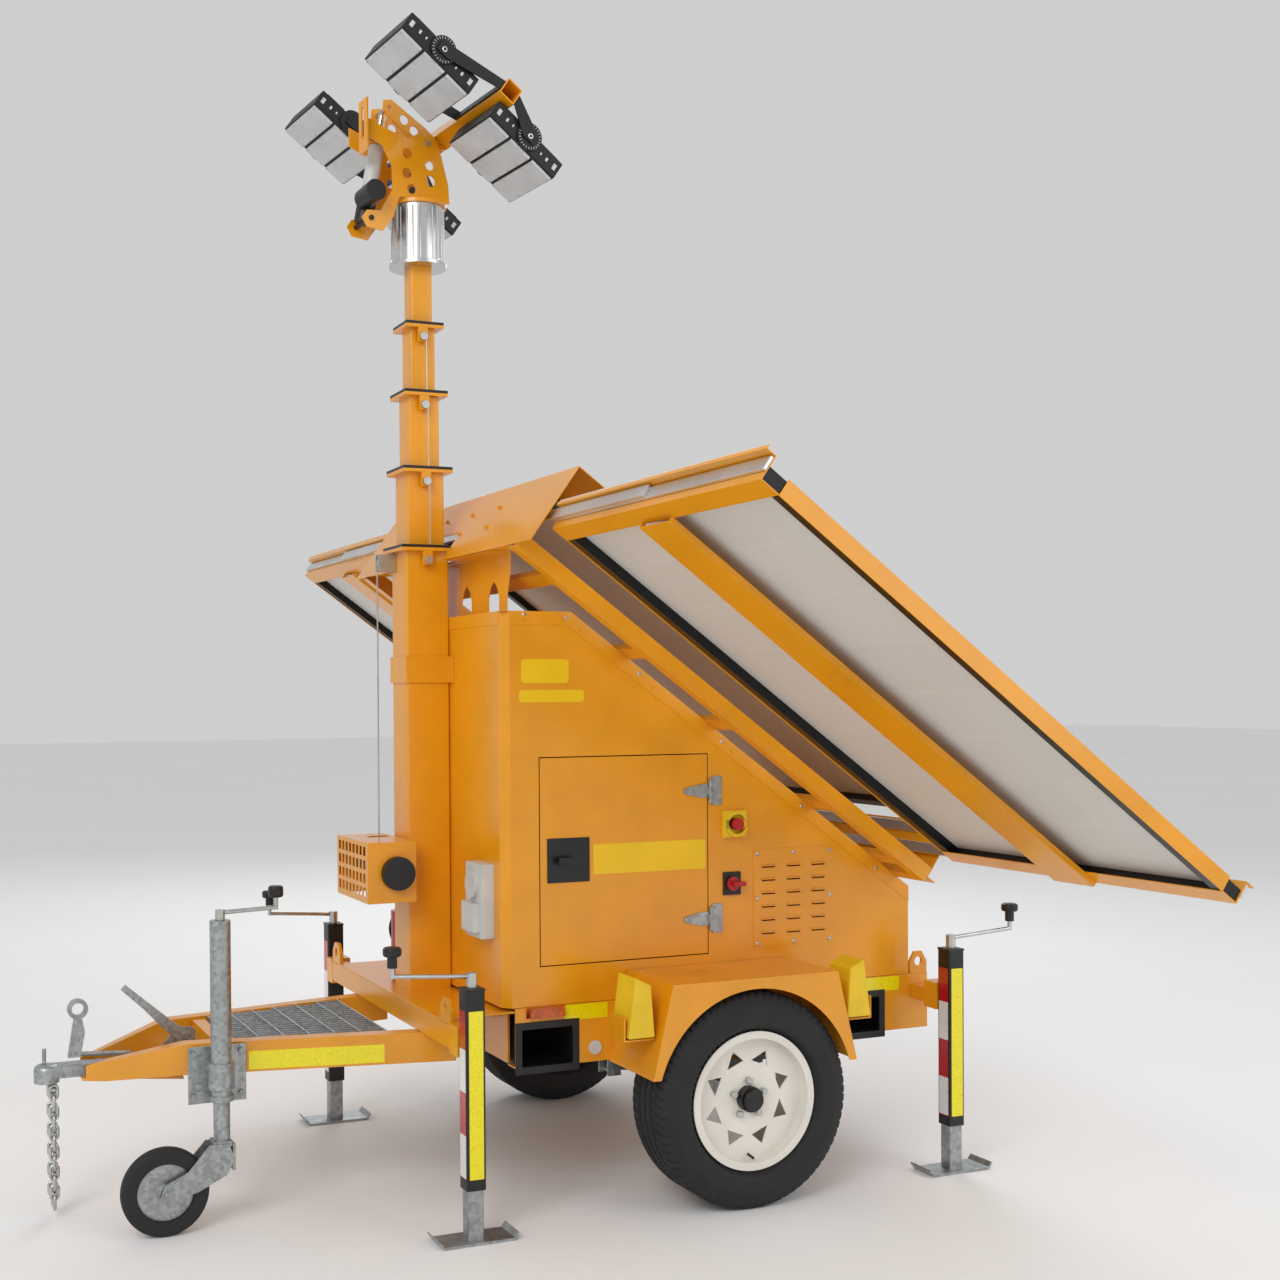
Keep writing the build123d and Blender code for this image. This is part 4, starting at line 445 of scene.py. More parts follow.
def solids(node):
    """The separate closed solids of a CAD node, each as (vertices, triangles).

    Two triangles belong together when they alone share an edge, so solids that only touch
    stay apart. Labels sink to the smallest in reach until nothing changes."""
    verts, tri = node_arrays(node)
    edges = np.sort(tri[:, [0, 1, 1, 2, 2, 0]].reshape(-1, 2), axis=1)
    owner = np.repeat(np.arange(len(tri)), 3)
    order = np.lexsort((edges[:, 1], edges[:, 0]))
    edges, owner = edges[order], owner[order]
    fresh_edge = np.concatenate([[True], np.any(edges[1:] != edges[:-1], axis=1)])
    start = np.where(fresh_edge)[0]
    count = np.diff(np.concatenate([start, [len(edges)]]))
    pair = start[count == 2]
    one, two = owner[pair], owner[pair + 1]
    label = np.arange(len(tri))
    while True:
        fresh = label.copy()
        low = np.minimum(label[one], label[two])
        np.minimum.at(fresh, one, low)
        np.minimum.at(fresh, two, low)
        fresh = fresh[fresh]
        if np.array_equal(fresh, label):
            break
        label = fresh
    out = []
    for value in np.unique(label):
        mine = tri[label == value]
        used, faces = np.unique(mine, return_inverse=True)
        out.append((verts[used], faces.reshape(-1, 3)))
    return out


def join_arrays(parts):
    """Several (vertices, faces) joined to one pair."""
    verts, faces, start = [], [], 0
    for v, f in parts:
        verts.append(np.asarray(v, float))
        faces += [tuple(int(i) + start for i in face) for face in f]
        start += len(v)
    return np.concatenate(verts), faces


def from_solids(name, node, chosen, material, bevel=None):
    """Piece made of some of a CAD node's solids, with flat regions joined and edges softened."""
    if not chosen:
        raise RuntimeError(f"{name}: no solid was chosen from {node}")
    obj = new_piece(name, *join_arrays(chosen), material, node)
    mesh = bmesh.new()
    mesh.from_mesh(obj.data)
    bmesh.ops.dissolve_limit(mesh, angle_limit=FLAT_ANGLE, verts=mesh.verts[:], edges=mesh.edges[:],
                             use_dissolve_boundaries=False)
    mesh.to_mesh(obj.data)
    mesh.free()
    obj.data.set_sharp_from_angle(angle=math.radians(SMOOTH_DEG))
    width = bpy.context.scene.trailer_finish.edge if bevel is None else bevel
    if width:
        soften = obj.modifiers.new("edges", "BEVEL")
        soften.width = width
        soften.segments = 2
        soften.limit_method = "ANGLE"
        soften.angle_limit = BEVEL_ANGLE
        soften.harden_normals = True
    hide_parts(node)
    return obj


def sort_solids(node, rules):
    """Shares a node's solids out by the first rule that fits; returns a dict of lists.

    A rule is (name, test) and the test gets the solid's size and middle."""
    out = {name: [] for name, _ in rules}
    for verts, faces in solids(node):
        size = verts.max(0) - verts.min(0)
        middle = (verts.max(0) + verts.min(0)) / 2
        for name, test in rules:
            if test(size, middle):
                out[name].append((verts, faces))
                break
    return out


def dress(node, rules, bevel=None):
    """Replaces a CAD node by one piece for each finish in its rules of (part, finish, test)."""
    found = sort_solids(node, [(part, test) for part, _, test in rules])
    return [from_solids(f"{node}_{part}", node, found[part], finish, bevel)
            for part, finish, _ in rules if found[part]]


def own_axes(solid):
    """Centre, axes and half sizes of a box-like solid, longest axis first."""
    verts, tri = solid
    a, b, c = verts[tri[:, 0]], verts[tri[:, 1]], verts[tri[:, 2]]
    normals = np.cross(b - a, c - a)
    area = np.linalg.norm(normals, axis=1)
    unit = normals / np.maximum(area, 1e-12)[:, None]
    first = unit[area.argmax()]
    square = np.abs(unit @ first) < 0.05
    second = unit[np.where(square, area, 0).argmax()]
    axes = np.array([first, second, np.cross(first, second)])
    span = verts @ axes.T
    low, high = span.min(0), span.max(0)
    order = np.argsort(low - high)
    centre = ((low + high) / 2) @ axes
    return centre, axes[order], ((high - low) / 2)[order]


def grid_faces(rows, columns, wrap_rows=False, wrap_columns=False):
    """Quads of a grid of points, row by row, wrapped round where asked."""
    r = np.arange(rows if wrap_rows else rows - 1)
    c = np.arange(columns if wrap_columns else columns - 1)
    i, j = np.meshgrid(r, c, indexing="ij")
    i2, j2 = (i + 1) % rows, (j + 1) % columns
    quads = np.stack([i * columns + j, i * columns + j2, i2 * columns + j2, i2 * columns + j], -1)
    return quads.reshape(-1, 4).tolist()


def prism(outline, origin, ex, ey, ez):
    """Outline points in the axes ex and ey, carried straight along ez, with both ends closed."""
    outline = np.asarray(outline, float)
    origin, ex, ey, ez = (np.asarray(v, float) for v in (origin, ex, ey, ez))
    ring = origin + outline[:, :1] * ex + outline[:, 1:] * ey
    verts = np.concatenate([ring, ring + ez])
    n = len(ring)
    faces = [[i, (i + 1) % n, n + (i + 1) % n, n + i] for i in range(n)]
    faces += [list(range(n))[::-1], list(range(n, 2 * n))]
    following = np.roll(outline, -1, axis=0)
    area = np.sum(outline[:, 0] * following[:, 1] - following[:, 0] * outline[:, 1])
    if area * np.dot(np.cross(ex, ey), ez) < 0:
        faces = [f[::-1] for f in faces]
    return verts, faces


def box_at(centre, axes, half):
    """Box with the given centre, axes and half sizes."""
    c = np.asarray(centre, float)
    a = np.asarray(axes, float)
    outline = [(sx * half[0], sy * half[1]) for sx, sy in CORNERS]
    return prism(outline, c - a[2] * half[2], a[0], a[1], a[2] * 2 * half[2])


def turned(profile, origin, axis, segments=64):
    """Surface of revolution: each (radius, height) of the profile carried round the axis."""
    profile = np.asarray(profile, float)
    axis = np.asarray(axis, float) / np.linalg.norm(axis)
    side = np.array([0, 0, 1.0]) if abs(axis[2]) < 0.9 else np.array([1.0, 0, 0])
    e1 = np.cross(side, axis)
    e1 /= np.linalg.norm(e1)
    e2 = np.cross(axis, e1)
    angle = np.linspace(0, 2 * math.pi, segments, endpoint=False)
    round_ = np.cos(angle)[:, None] * e1 + np.sin(angle)[:, None] * e2
    verts = (np.asarray(origin, float) + profile[None, :, :1] * round_[:, None, :]
             + profile[None, :, 1:] * axis)
    faces = grid_faces(segments, len(profile), True, True)
    return verts.reshape(-1, 3), faces


def tube(path, radius, sides=12):
    """Round tube along a path of points: each ring stands square to the path's direction."""
    path = np.asarray(path, float)
    step = np.gradient(path, axis=0)
    step /= np.linalg.norm(step, axis=1)[:, None]
    guide = (0.013, 1.0, 0.021) if abs(step[:, 1]).max() < 0.9 else (1.0, 0.01, 0.02)
    e1 = np.cross(step, guide)
    e1 /= np.linalg.norm(e1, axis=1)[:, None]
    e2 = np.cross(step, e1)
    angle = np.linspace(0, 2 * math.pi, sides, endpoint=False)
    ring = np.cos(angle)[None, :, None] * e1[:, None] + np.sin(angle)[None, :, None] * e2[:, None]
    verts = (path[:, None] + radius * ring).reshape(-1, 3)
    faces = grid_faces(len(path), sides, False, True)
    last = (len(path) - 1) * sides
    faces = [f[::-1] for f in faces]
    faces += [list(range(sides)), list(range(last, last + sides))[::-1]]
    return verts, faces


def screw_head(centre, axis, radius, height):
    """Low domed hexagon-socket head: a short turned profile."""
    profile = [(0.0001, 0), (radius, 0), (radius, height * 0.55), (radius * 0.7, height),
               (radius * 0.42, height), (radius * 0.38, height * 0.45), (0.0001, height * 0.45)]
    return turned(profile, centre, axis, 14)


def rounded_outline(width, height, radius, steps=5):
    """Rectangle outline with round corners, each a quarter circle."""
    points = []
    for k, (sx, sy) in enumerate(((1, 1), (-1, 1), (-1, -1), (1, -1))):
        angle = np.linspace(k * math.pi / 2, (k + 1) * math.pi / 2, steps)
        points += [(sx * (width / 2 - radius) + radius * math.cos(a),
                    sy * (height / 2 - radius) + radius * math.sin(a)) for a in angle]
    return points


def is_any(size, middle):
    """True for every solid."""
    return True


# ------------------------------------------------------------------ pieces
def dress_painted():
    """Plain painted and plated nodes, each kept whole."""
    whole = {
        "chassis_frame": "yellow", "fork_pockets": "black", "outrigger_beams": "yellow",
        "drawbar_rails": "yellow", "axle_and_springs": "galv", "mudguards": "yellow",
        "cabinet_shell": "yellow", "cabinet_cover": "yellow", "louvre_panels": "yellow",
        "ridge_cap": "yellow", "ridge_bracket": "yellow", "door_hinges": "galv",
        "jockey_bracket": "galv", "jockey_tube": "galv", "coupling_body": "galv",
        "handbrake_lever": "galv", "coupling_latch": "galv", "safety_chains": "zinc",
        "winch_rope": "zinc", "door_latch": "abs_black", "isolator_knob": "abs_red",
        "stop_button": "abs_red", "battery_bank": "abs_black", "actuator_rod": "chrome",
        "slides_left": "rail", "slides_right": "rail",
    }
    for node, finish in whole.items():
        dress(node, [("whole", finish, is_any)])


def dress_mast():
    """Mast sections in paint, guide pads in black, pulleys and rotator in metal."""
    for i in range(1, 5):
        node = "mast_base" if i == 1 else f"mast_section_{i}"
        dress(node, [
            ("tube", "yellow", lambda s, m: s[2] > 1.0),
            ("pulleys", "zinc", lambda s, m: s[1] < 0.03 and abs(s[0] - s[2]) < 0.004),
            ("pads", "abs_black", lambda s, m: s[2] < 0.012),
            ("brackets", "yellow", is_any),
        ])
    dress("mast_section_5", [("tube", "yellow", is_any)])
    dress("rotator_drum", [("flanges", "stainless", is_any)])
    low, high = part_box("rotator_drum")
    axis_x = (low.x + high.x) / 2
    end_gap, ring, rib, count = 0.01, 0.0825, 0.0035, 24
    tall = high.z - low.z - 2 * end_gap
    profile = [(rib, 0), (rib, tall), (0.0001, tall), (0.0001, 0)]
    ribs = [turned(profile, (axis_x + ring * math.cos(a), ring * math.sin(a), low.z + end_gap),
                   (0, 0, 1), 10)
            for a in np.linspace(0, 2 * math.pi, count, endpoint=False)]
    new_piece("rotator_ribs", *join_arrays(ribs), "stainless", "rotator_drum")


def mast_ropes():
    """Thin wire ropes that run up both sides of the mast from pulley to pulley."""
    radius = bpy.context.scene.trailer_finish.rope
    for i in range(2, 5):
        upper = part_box(f"mast_section_{i}")
        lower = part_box("mast_base" if i == 2 else f"mast_section_{i - 1}")
        x = (upper[0].x + upper[1].x) / 2 + 0.002
        low_z, high_z = lower[1].z - 0.030, upper[1].z - 0.050
        parts = []
        for side in (1, -1):
            z = np.linspace(low_z, high_z, 12)
            path = np.stack([np.full(12, x), np.full(12, side * (upper[1].y - 0.004)), z], -1)
            parts.append(tube(path, radius, 8))
        rope = new_piece(f"mast_rope_{i}", *join_arrays(parts), "zinc", "winch_rope", body=FREE)
        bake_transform(rope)


def tyre_surface(node):
    """Tyre: a rounded section turned round the axle, with grooves that dip by angle and width."""
    low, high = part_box(node)
    centre = (np.array(low) + np.array(high)) / 2
    outer = (high.z - low.z) / 2
    half = (high.y - low.y) / 2
    across = np.concatenate([
        np.linspace(-half + 0.030, -half + 0.004, 8), np.full(6, -half) + np.linspace(0.002, 0, 6),
        np.linspace(-half, -half + 0.030, 10), np.linspace(-half + 0.034, half - 0.034, 37),
        np.linspace(half - 0.030, half, 10), np.full(6, half) - np.linspace(0, 0.002, 6),
        np.linspace(half - 0.004, half - 0.030, 8)])
    rim = 0.207
    radius = np.concatenate([
        np.linspace(rim, rim + 0.016, 8), np.linspace(rim + 0.022, outer - 0.060, 6),
        outer - 0.050 + 0.048 * np.sin(np.linspace(0, math.pi / 2, 10)),
        np.full(37, outer - 0.001), outer - 0.050 + 0.048 * np.sin(np.linspace(math.pi / 2, 0, 10)),
        np.linspace(outer - 0.060, rim + 0.022, 6), np.linspace(rim + 0.016, rim, 8)])
    segments = 432
    angle = np.linspace(0, 2 * math.pi, segments, endpoint=False)
    a, w = np.meshgrid(angle, across, indexing="ij")
    r = np.broadcast_to(radius, a.shape).copy()
    tread = np.abs(w) < half - 0.012
    groove = np.zeros_like(r)
    for place in (-0.034, 0.0, 0.034):
        groove = np.maximum(groove, np.abs(w - place) < 0.0045)
    wave = (a * 72 / (2 * math.pi) + w / 0.05) % 1.0
    sipe = (wave < 0.16) & (np.abs(w) > 0.042)
    fine = ((a * 144 / (2 * math.pi) - w / 0.08) % 1.0 < 0.14) & (np.abs(w) < 0.034)
    r -= tread * np.maximum(groove * 0.008, np.maximum(sipe * 0.006, fine * 0.003))
    x = centre[0] + r * np.cos(a)
    z = centre[2] + r * np.sin(a)
    y = centre[1] + w
    verts = np.stack([x, y, z], -1).reshape(-1, 3)
    faces = grid_faces(segments, len(across), True, True)
    obj = new_piece(f"{node}_tyre", verts, faces, "tyre", node, 40)
    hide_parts(node)


def dress_wheels():
    """Road wheels: treaded tyre, cream rim, zinc nuts and a black hub."""
    for node in ("wheel_left", "wheel_right"):
        tyre_surface(node)
        found = sort_solids(node, [
            ("tyre", lambda s, m: s[2] > 0.6),
            ("rim", lambda s, m: s[2] > 0.3),
            ("nuts", lambda s, m: s[1] < 0.02 and s[2] < 0.03),
            ("valve", lambda s, m: s[0] < 0.012),
            ("hub", is_any)])
        from_solids(f"{node}_rim", node, found["rim"], "rim", 0.0015)
        from_solids(f"{node}_nuts", node, found["nuts"], "zinc", 0.002)
        from_solids(f"{node}_hub", node, found["hub"], "black", 0.002)
        if found["valve"]:
            from_solids(f"{node}_valve", node, found["valve"], "abs_black", 0.0)


def lay_cells(node, centre, axes, half):
    """Sheet of solar cells on a laminate's upper face, with its own size as texture place."""
    u, v = axes[0], axes[1]
    up = axes[2] if axes[2][2] > 0 else -axes[2]
    lift = centre + up * (half[2] + 0.0006)
    corners = np.array([lift + sx * u * half[0] + sy * v * half[1] for sx, sy in CORNERS])
    order = [0, 1, 2, 3] if np.dot(np.cross(u, v), up) > 0 else [3, 2, 1, 0]
    glass = new_piece(f"{node}_cells", corners, [order], "cells", node)
    layer = glass.data.uv_layers.new(name="UVMap")
    flat = np.array([[half[0] * sx, half[1] * sy] for sx, sy in CORNERS])
    layer.data.foreach_set("uv", flat[order].astype(np.float32).ravel())


def dress_wings():
    """Solar wings and centre panel: painted beams, black frame, cells, backsheet, slides."""
    for node in ("wing_left", "wing_right", "centre_panel"):
        panels, beams, slide = [], [], []
        for solid in solids(node):
            centre, axes, half = own_axes(solid)
            if half[0] > 0.7 and half[1] > 0.4:
                panels.append((half[2], solid, centre, axes, half))
            elif 0.015 < half[1] < 0.020 and half[2] < 0.006 and abs(axes[0][1]) > 0.9:
                slide.append(solid)
            else:
                beams.append(solid)
        panels.sort(key=lambda item: item[0])
        laminate, casing = panels[0], panels[1]
        beams += [item[1] for item in panels[2:]]
        from_solids(f"{node}_panel_frame", node, [casing[1]], "frame", 0.0008)
        from_solids(f"{node}_laminate", node, [laminate[1]], "back", 0.0)
        if beams:
            from_solids(f"{node}_beams", node, beams, "yellow")
        if slide:
            from_solids(f"{node}_slide", node, slide, "rail", 0.0015)
        lay_cells(node, *laminate[2:])


def dress_tray():
    """Panel tray: painted rails and ties, aluminium fixed slide members."""
    dress("panel_tray", [
        ("slides", "rail", lambda s, m: 1.0 < s[1] < 1.1),
        ("frame", "yellow", is_any)])


def dress_door():
    """Cabinet door: painted skin, galvanised strap hinges and a black lock bed."""
    dress("cabinet_door", [
        ("skin", "yellow", lambda s, m: s[0] > 0.4),
        ("straps", "galv", lambda s, m: s[0] < 0.1),
        ("lock_bed", "abs_black", is_any)])


def dress_fittings():
    """Switches, outlet, lights and reflectors."""
    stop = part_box("stop_button")
    outlet_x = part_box("cabinet_shell")[0].x
    dress("side_fittings", [
        ("outlet", "abs_grey", lambda s, m: m[0] < outlet_x),
        ("guard", "chock", lambda s, m: abs(m[2] - (stop[0].z + stop[1].z) / 2) < 0.01
         and s[0] > 0.06),
        ("isolator_plate", "abs_black", lambda s, m: m[2] > 0.85),
        ("marker", "amber", lambda s, m: m[2] > 0.55 and s[1] > 0.01),
        ("tail", "abs_red", lambda s, m: s[0] < 0.03),
        ("rest", "abs_grey", is_any)])
    dress("wheel_chocks", [
        ("chocks", "chock", lambda s, m: s[1] > 0.1),
        ("cradles", "yellow", is_any)], bevel=0.004)
    dress("fire_extinguisher", [("can", "red", is_any)], bevel=0.003)
    low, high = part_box("fire_extinguisher")
    x, y = (low.x + high.x) / 2 + 0.02, (low.y + high.y) / 2
    t = np.linspace(0, 1, 24)
    bow, drop, hose = 0.055, 0.19, 0.006
    path = np.stack([x - bow * np.sin(math.pi * t), y + 0 * t + 0.02, high.z - 0.02 - drop * t], -1)
    new_piece("extinguisher_hose", *tube(path, hose, 10), "abs_black", "fire_extinguisher")


def blacken_knob(obj, x, y, low_z):
    """Gives the faces of a crank's knob the moulded black finish."""
    mesh = obj.data
    mesh.materials.append(MATERIALS["abs_black"])
    centres = np.empty(len(mesh.polygons) * 3)
    mesh.polygons.foreach_get("center", centres)
    centres = centres.reshape(-1, 3)
    inside = (np.hypot(centres[:, 0] - x, centres[:, 1] - y) < 0.03) & (centres[:, 2] > low_z)
    mesh.polygons.foreach_set("material_index", inside.astype(np.int32))


def dress_jacks():
    """Jacks: black tubes with tape, galvanised legs, zinc cranks with black knobs."""
    dress("jack_tubes", [("tubes", "black", is_any)])
    strips, blocks = [], []
    outline = rounded_outline(0.043, 0.47, 0.002)
    for verts, _ in solids("jack_tubes"):
        low, high = verts.min(0), verts.max(0)
        mid = (low + high) / 2
        outward = 1.0 if mid[1] > 0 else -1.0
        face_y = high[1] if outward > 0 else low[1]
        tape_z = mid[2] - 0.015
        strips.append(prism(outline, (mid[0], face_y + outward * LAY_GAP, tape_z), (1, 0, 0),
                            (0, 0, 1), (0, outward * TAPE_THICK, 0)))
        blocks.append(prism(outline, (low[0] - LAY_GAP, mid[1], tape_z), (0, 1, 0), (0, 0, 1),
                            (-TAPE_THICK, 0, 0)))
    new_piece("jack_tape_sides", *join_arrays(strips), "tape_yellow", "jack_tubes")
    new_piece("jack_tape_fronts", *join_arrays(blocks), "tape_red", "jack_tubes")
    for end in ("front", "rear"):
        for side in ("left", "right"):
            dress(f"jack_leg_{end}_{side}", [("leg", "galv", is_any)])
            crank = f"jack_crank_{end}_{side}"
            rod = dress(crank, [("rod", "zinc", is_any)], bevel=0.0)[0]
            low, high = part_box(crank)
            knob_x = low.x + 0.026 if end == "front" else high.x - 0.026
            blacken_knob(rod, knob_x, (low.y + high.y) / 2, high.z - 0.0575)


def dress_jockey():
    """Jockey wheel: rubber tyre on a pressed centre, galvanised fork, zinc crank."""
    dress("jockey_wheel", [
        ("tyre", "tyre", lambda s, m: s[0] > 0.2),
        ("centre", "galv", is_any)], bevel=0.002)
    dress("jockey_fork", [("fork", "galv", is_any)])
    rod = dress("jockey_crank", [("rod", "zinc", is_any)], bevel=0.0)[0]
    low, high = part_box("jockey_crank")
    blacken_knob(rod, high.x - 0.022, (low.y + high.y) / 2, high.z - 0.0345)


def dress_drawbar():
    """Step grating of bearing bars and twisted cross rods."""
    dress("drawbar_grating", [("bars", "galv", is_any)], bevel=0.0004)
    low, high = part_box("drawbar_grating")
    rods = []
    outline = rounded_outline(0.004, 0.018, 0.001, 3)
    for y in np.arange(-0.24, 0.2401, 0.03):
        share = min(1.0, max(0.0, (abs(y) - 0.170) / 0.085))
        start = low.x + 0.004 + share * (high.x - low.x)
        if high.x - start > 0.05:
            rods.append(prism(outline, (start, y, high.z - 0.0105), (0, 1, 0), (0, 0, 1),
                              (high.x - 0.004 - start, 0, 0)))
    new_piece("drawbar_grating_rods", *join_arrays(rods), "galv", "drawbar_grating")


def dress_winch():
    """Winch housing with its round motor cover."""
    dress("winch_box", [
        ("motor", "abs_black", lambda s, m: s[1] < 0.06),
        ("drum", "galv", lambda s, m: s[0] < 0.1),
        ("housing", "yellow", is_any)])


def dress_head():
    """Turning bracket, actuator and tilting bar."""
    dress("head_bracket", [("plates", "yellow", is_any)])
    dress("actuator_body", [("body", "abs_black", is_any)], bevel=0.002)
    yaw = math.radians(6.5)
    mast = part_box("mast_section_5")
    middle = (mast[0].x + mast[1].x) / 2
    line = []
    for reach, z in ((-0.191, 3.013), (-0.120, 3.373)):
        line.append(np.array([middle + reach * math.cos(yaw), reach * math.sin(yaw), z]))
    base, tip = line
    along = (tip - base) / np.linalg.norm(tip - base)
    tube_profile = [(0.0161, 0.251), (0.0161, 0.2493), (0.0238, 0.2493), (0.0243, 0.2480),
                    (0.0243, 0.1030), (0.0238, 0.1015), (0.0161, 0.1015)]
    verts, faces = turned(tube_profile, base, along, 40)
    new_piece("actuator_tube", verts, faces, "abs_grey", "actuator_body")
    beam, arms, yokes, pins = [], [], [], []
    for solid in solids("lamp_bar"):
        size = solid[0].max(0) - solid[0].min(0)
        centre = (solid[0].max(0) + solid[0].min(0)) / 2
        if own_axes(solid)[2][0] > 0.4:
            beam.append(solid)
        elif abs(centre[1]) > 0.12:
            yokes.append(solid)
        elif size[0] < 0.06 and size[2] < 0.06:
            pins.append(solid)
        else:
            arms.append(solid)
    from_solids("lamp_bar_beam", "lamp_bar", beam, "yellow")
    from_solids("lamp_bar_arms", "lamp_bar", arms, "yellow")
    from_solids("lamp_bar_yokes", "lamp_bar", yokes, "cast")
    if pins:
        from_solids("lamp_bar_pins", "lamp_bar", pins, "zinc")


def optic_field(centre, u, v, n, half_u, half_v, rows, columns):
    """Lens face: rows by columns of little domes, height = depth x |sin u x sin v| to a power."""
    per = 6
    nu, nv = columns * per + 1, rows * per + 1
    a = np.linspace(0, columns, nu)
    b = np.linspace(0, rows, nv)
    ga, gb = np.meshgrid(a, b, indexing="ij")
    dome = 0.0035 * (np.abs(np.sin(math.pi * ga)) * np.abs(np.sin(math.pi * gb))) ** 0.6
    x = (ga / columns * 2 - 1) * half_u
    y = (gb / rows * 2 - 1) * half_v
    points = (np.asarray(centre) + x[..., None] * u + y[..., None] * v + dome[..., None] * n)
    faces = grid_faces(nu, nv)
    if np.dot(np.cross(u, v), n) <= 0:
        faces = [f[::-1] for f in faces]
    return points.reshape(-1, 3), faces


def lens_face(solid, face, optics, screws):
    """Domed optics of one lamp module and the screws along its two long rims."""
    centre, axes, half = own_axes(solid)
    top = centre + face * (half[2] - 0.0035)
    optics.append(optic_field(top, axes[0], axes[1], face, half[0] - 0.014, half[1] - 0.010,
                              5, 15))
    rim_top = centre + face * half[2]
    for sx in np.linspace(-0.92, 0.92, 5):
        for sy in (-1, 1):
            spot = rim_top + axes[0] * sx * half[0] + axes[1] * sy * (half[1] - 0.005)
            screws.append(screw_head(spot, face, 0.0028, 0.0012))


def angle_disc(solid, back, screws, marks):
    """Pivot bolt of a yoke's angle disc, with a ring of 24 marks round it."""
    centre, axes, half = own_axes(solid)
    e1, e2, axis = axes[0], axes[1], axes[2] * np.sign(axes[2] @ (centre - back))
    out = centre + axis * half[2]
    screws.append(screw_head(out, axis, 0.011, 0.006))
    for angle in np.linspace(0, 2 * math.pi, 24, endpoint=False):
        ray = math.cos(angle) * e1 + math.sin(angle) * e2
        marks.append(box_at(out + ray * 0.035, (ray, np.cross(axis, ray), axis),
                            (0.0035, 0.0008, 0.0004)))


def case_details(solid, face, fins, marks):
    """Cooling fins behind one lamp casting, in three banks, and marks on its two side walls."""
    centre, axes, half = own_axes(solid)
    depth_k = max(range(3), key=lambda k: abs(axes[k] @ face))
    across = [k for k in range(3) if k != depth_k]
    y_k = max(across, key=lambda k: abs(axes[k][1]))
    long_k = [k for k in across if k != y_k][0]
    for k in range(3):
        middle = centre + axes[long_k] * (k - 1) * half[long_k] * 0.58
        for j in range(16):
            y = (j - 7.5) * half[y_k] * 2 / 17
            fins.append(box_at(middle + axes[y_k] * y - face * (half[depth_k] + 0.003),
                               (axes[long_k], axes[y_k], -face),
                               (half[long_k] * 0.26, 0.0014, 0.006)))
    for way in (-1, 1):
        wall = centre + axes[y_k] * way * half[y_k]
        frame_axes = (axes[long_k], axes[depth_k], axes[y_k] * way)
        for along, size in ((-0.86, 0.010), (-0.62, 0.006), (-0.44, 0.004), (0.44, 0.004),
                            (0.62, 0.006), (0.86, 0.010)):
            spot = wall + axes[long_k] * along * half[long_k]
            marks.append(box_at(spot, frame_axes, (size * 0.6, size, 0.0006)))


def dress_lamps():
    """Flood lamps: finned black castings, clear optics, marked side plates, angle discs."""
    cases, modules, discs = [], [], []
    for solid in solids("lamps"):
        half = own_axes(solid)[2]
        if half[2] > 0.02:
            cases.append(solid)
        elif half[0] > 0.1:
            modules.append(solid)
        else:
            discs.append(solid)
    from_solids("lamps_discs", "lamps", discs, "cast", 0.0008)
    from_solids("lamps_cases", "lamps", cases, "cast", 0.003)
    from_solids("lamps_modules", "lamps", modules, "lens", 0.001)
    mean = np.mean([own_axes(s)[0] for s in modules], axis=0)
    back = np.mean([own_axes(s)[0] for s in cases], axis=0)
    face = (mean - back) / np.linalg.norm(mean - back)
    optics, screws, marks = [], [], []
    for solid in modules:
        lens_face(solid, face, optics, screws)
    new_piece("lamps_optics", *join_arrays(optics), "optic", "lamps", 60)
    for solid in discs:
        angle_disc(solid, back, screws, marks)
    new_piece("lamps_screws", *join_arrays(screws), "zinc", "lamps")
    fins = []
    for solid in cases:
        case_details(solid, face, fins, marks)
    new_piece("lamps_fins", *join_arrays(fins), "cast", "lamps")
    new_piece("lamps_marks", *join_arrays(marks), "abs_grey", "lamps")


def stick_plate(name, node, centre, size, normal, finish, radius):
    """Flat rounded plate or film laid on a wall that faces along a row axis."""
    normal = np.asarray(normal, float)
    ex = np.array([0, 1.0, 0]) if abs(normal[0]) > 0.5 else np.array([1.0, 0, 0])
    outline = rounded_outline(size[0], size[1], radius)
    start = np.asarray(centre, float) + normal * LAY_GAP
    new_piece(name, *prism(outline, start, ex, (0, 0, 1), normal * PLATE_THICK), finish, node)


def dress_plates():
    """Blank nameplates and tape strips on the left-hand side, then the cabinet screws and the
    drawbar tape.
    """
    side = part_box("cabinet_shell")[0].y
    axle = (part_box("wheel_left")[0].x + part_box("wheel_left")[1].x) / 2
    for name, x0, x1, z0, z1, finish in (
            ("upper_plate", -0.630, -0.474, 1.561, 1.632, "plate"),
            ("middle_plate", -0.637, -0.424, 1.504, 1.541, "plate")):
        stick_plate(name, "cabinet_shell", (axle + (x0 + x1) / 2, side, (z0 + z1) / 2),
                    (x1 - x0, z1 - z0), (0, -1, 0), finish, 0.012)
    stick_plate("door_plate", "cabinet_door",
                (axle - 0.2025, side - 0.0002, 1.0295), (0.387, 0.091), (0, -1, 0), "plate", 0.004)
    chassis_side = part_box("chassis_frame")[0].y
    for name, x0, x1, z0, z1 in (("front_side_tape", -0.497, -0.353, 0.552, 0.598),
                                 ("rear_side_tape", 0.453, 0.714, 0.552, 0.598)):
        stick_plate(name, "chassis_frame", (axle + (x0 + x1) / 2, chassis_side, (z0 + z1) / 2),
                    (x1 - x0, z1 - z0), (0, -1, 0), "tape_yellow", 0.002)
    shell_screws(axle, side)
    drawbar_tape(axle)


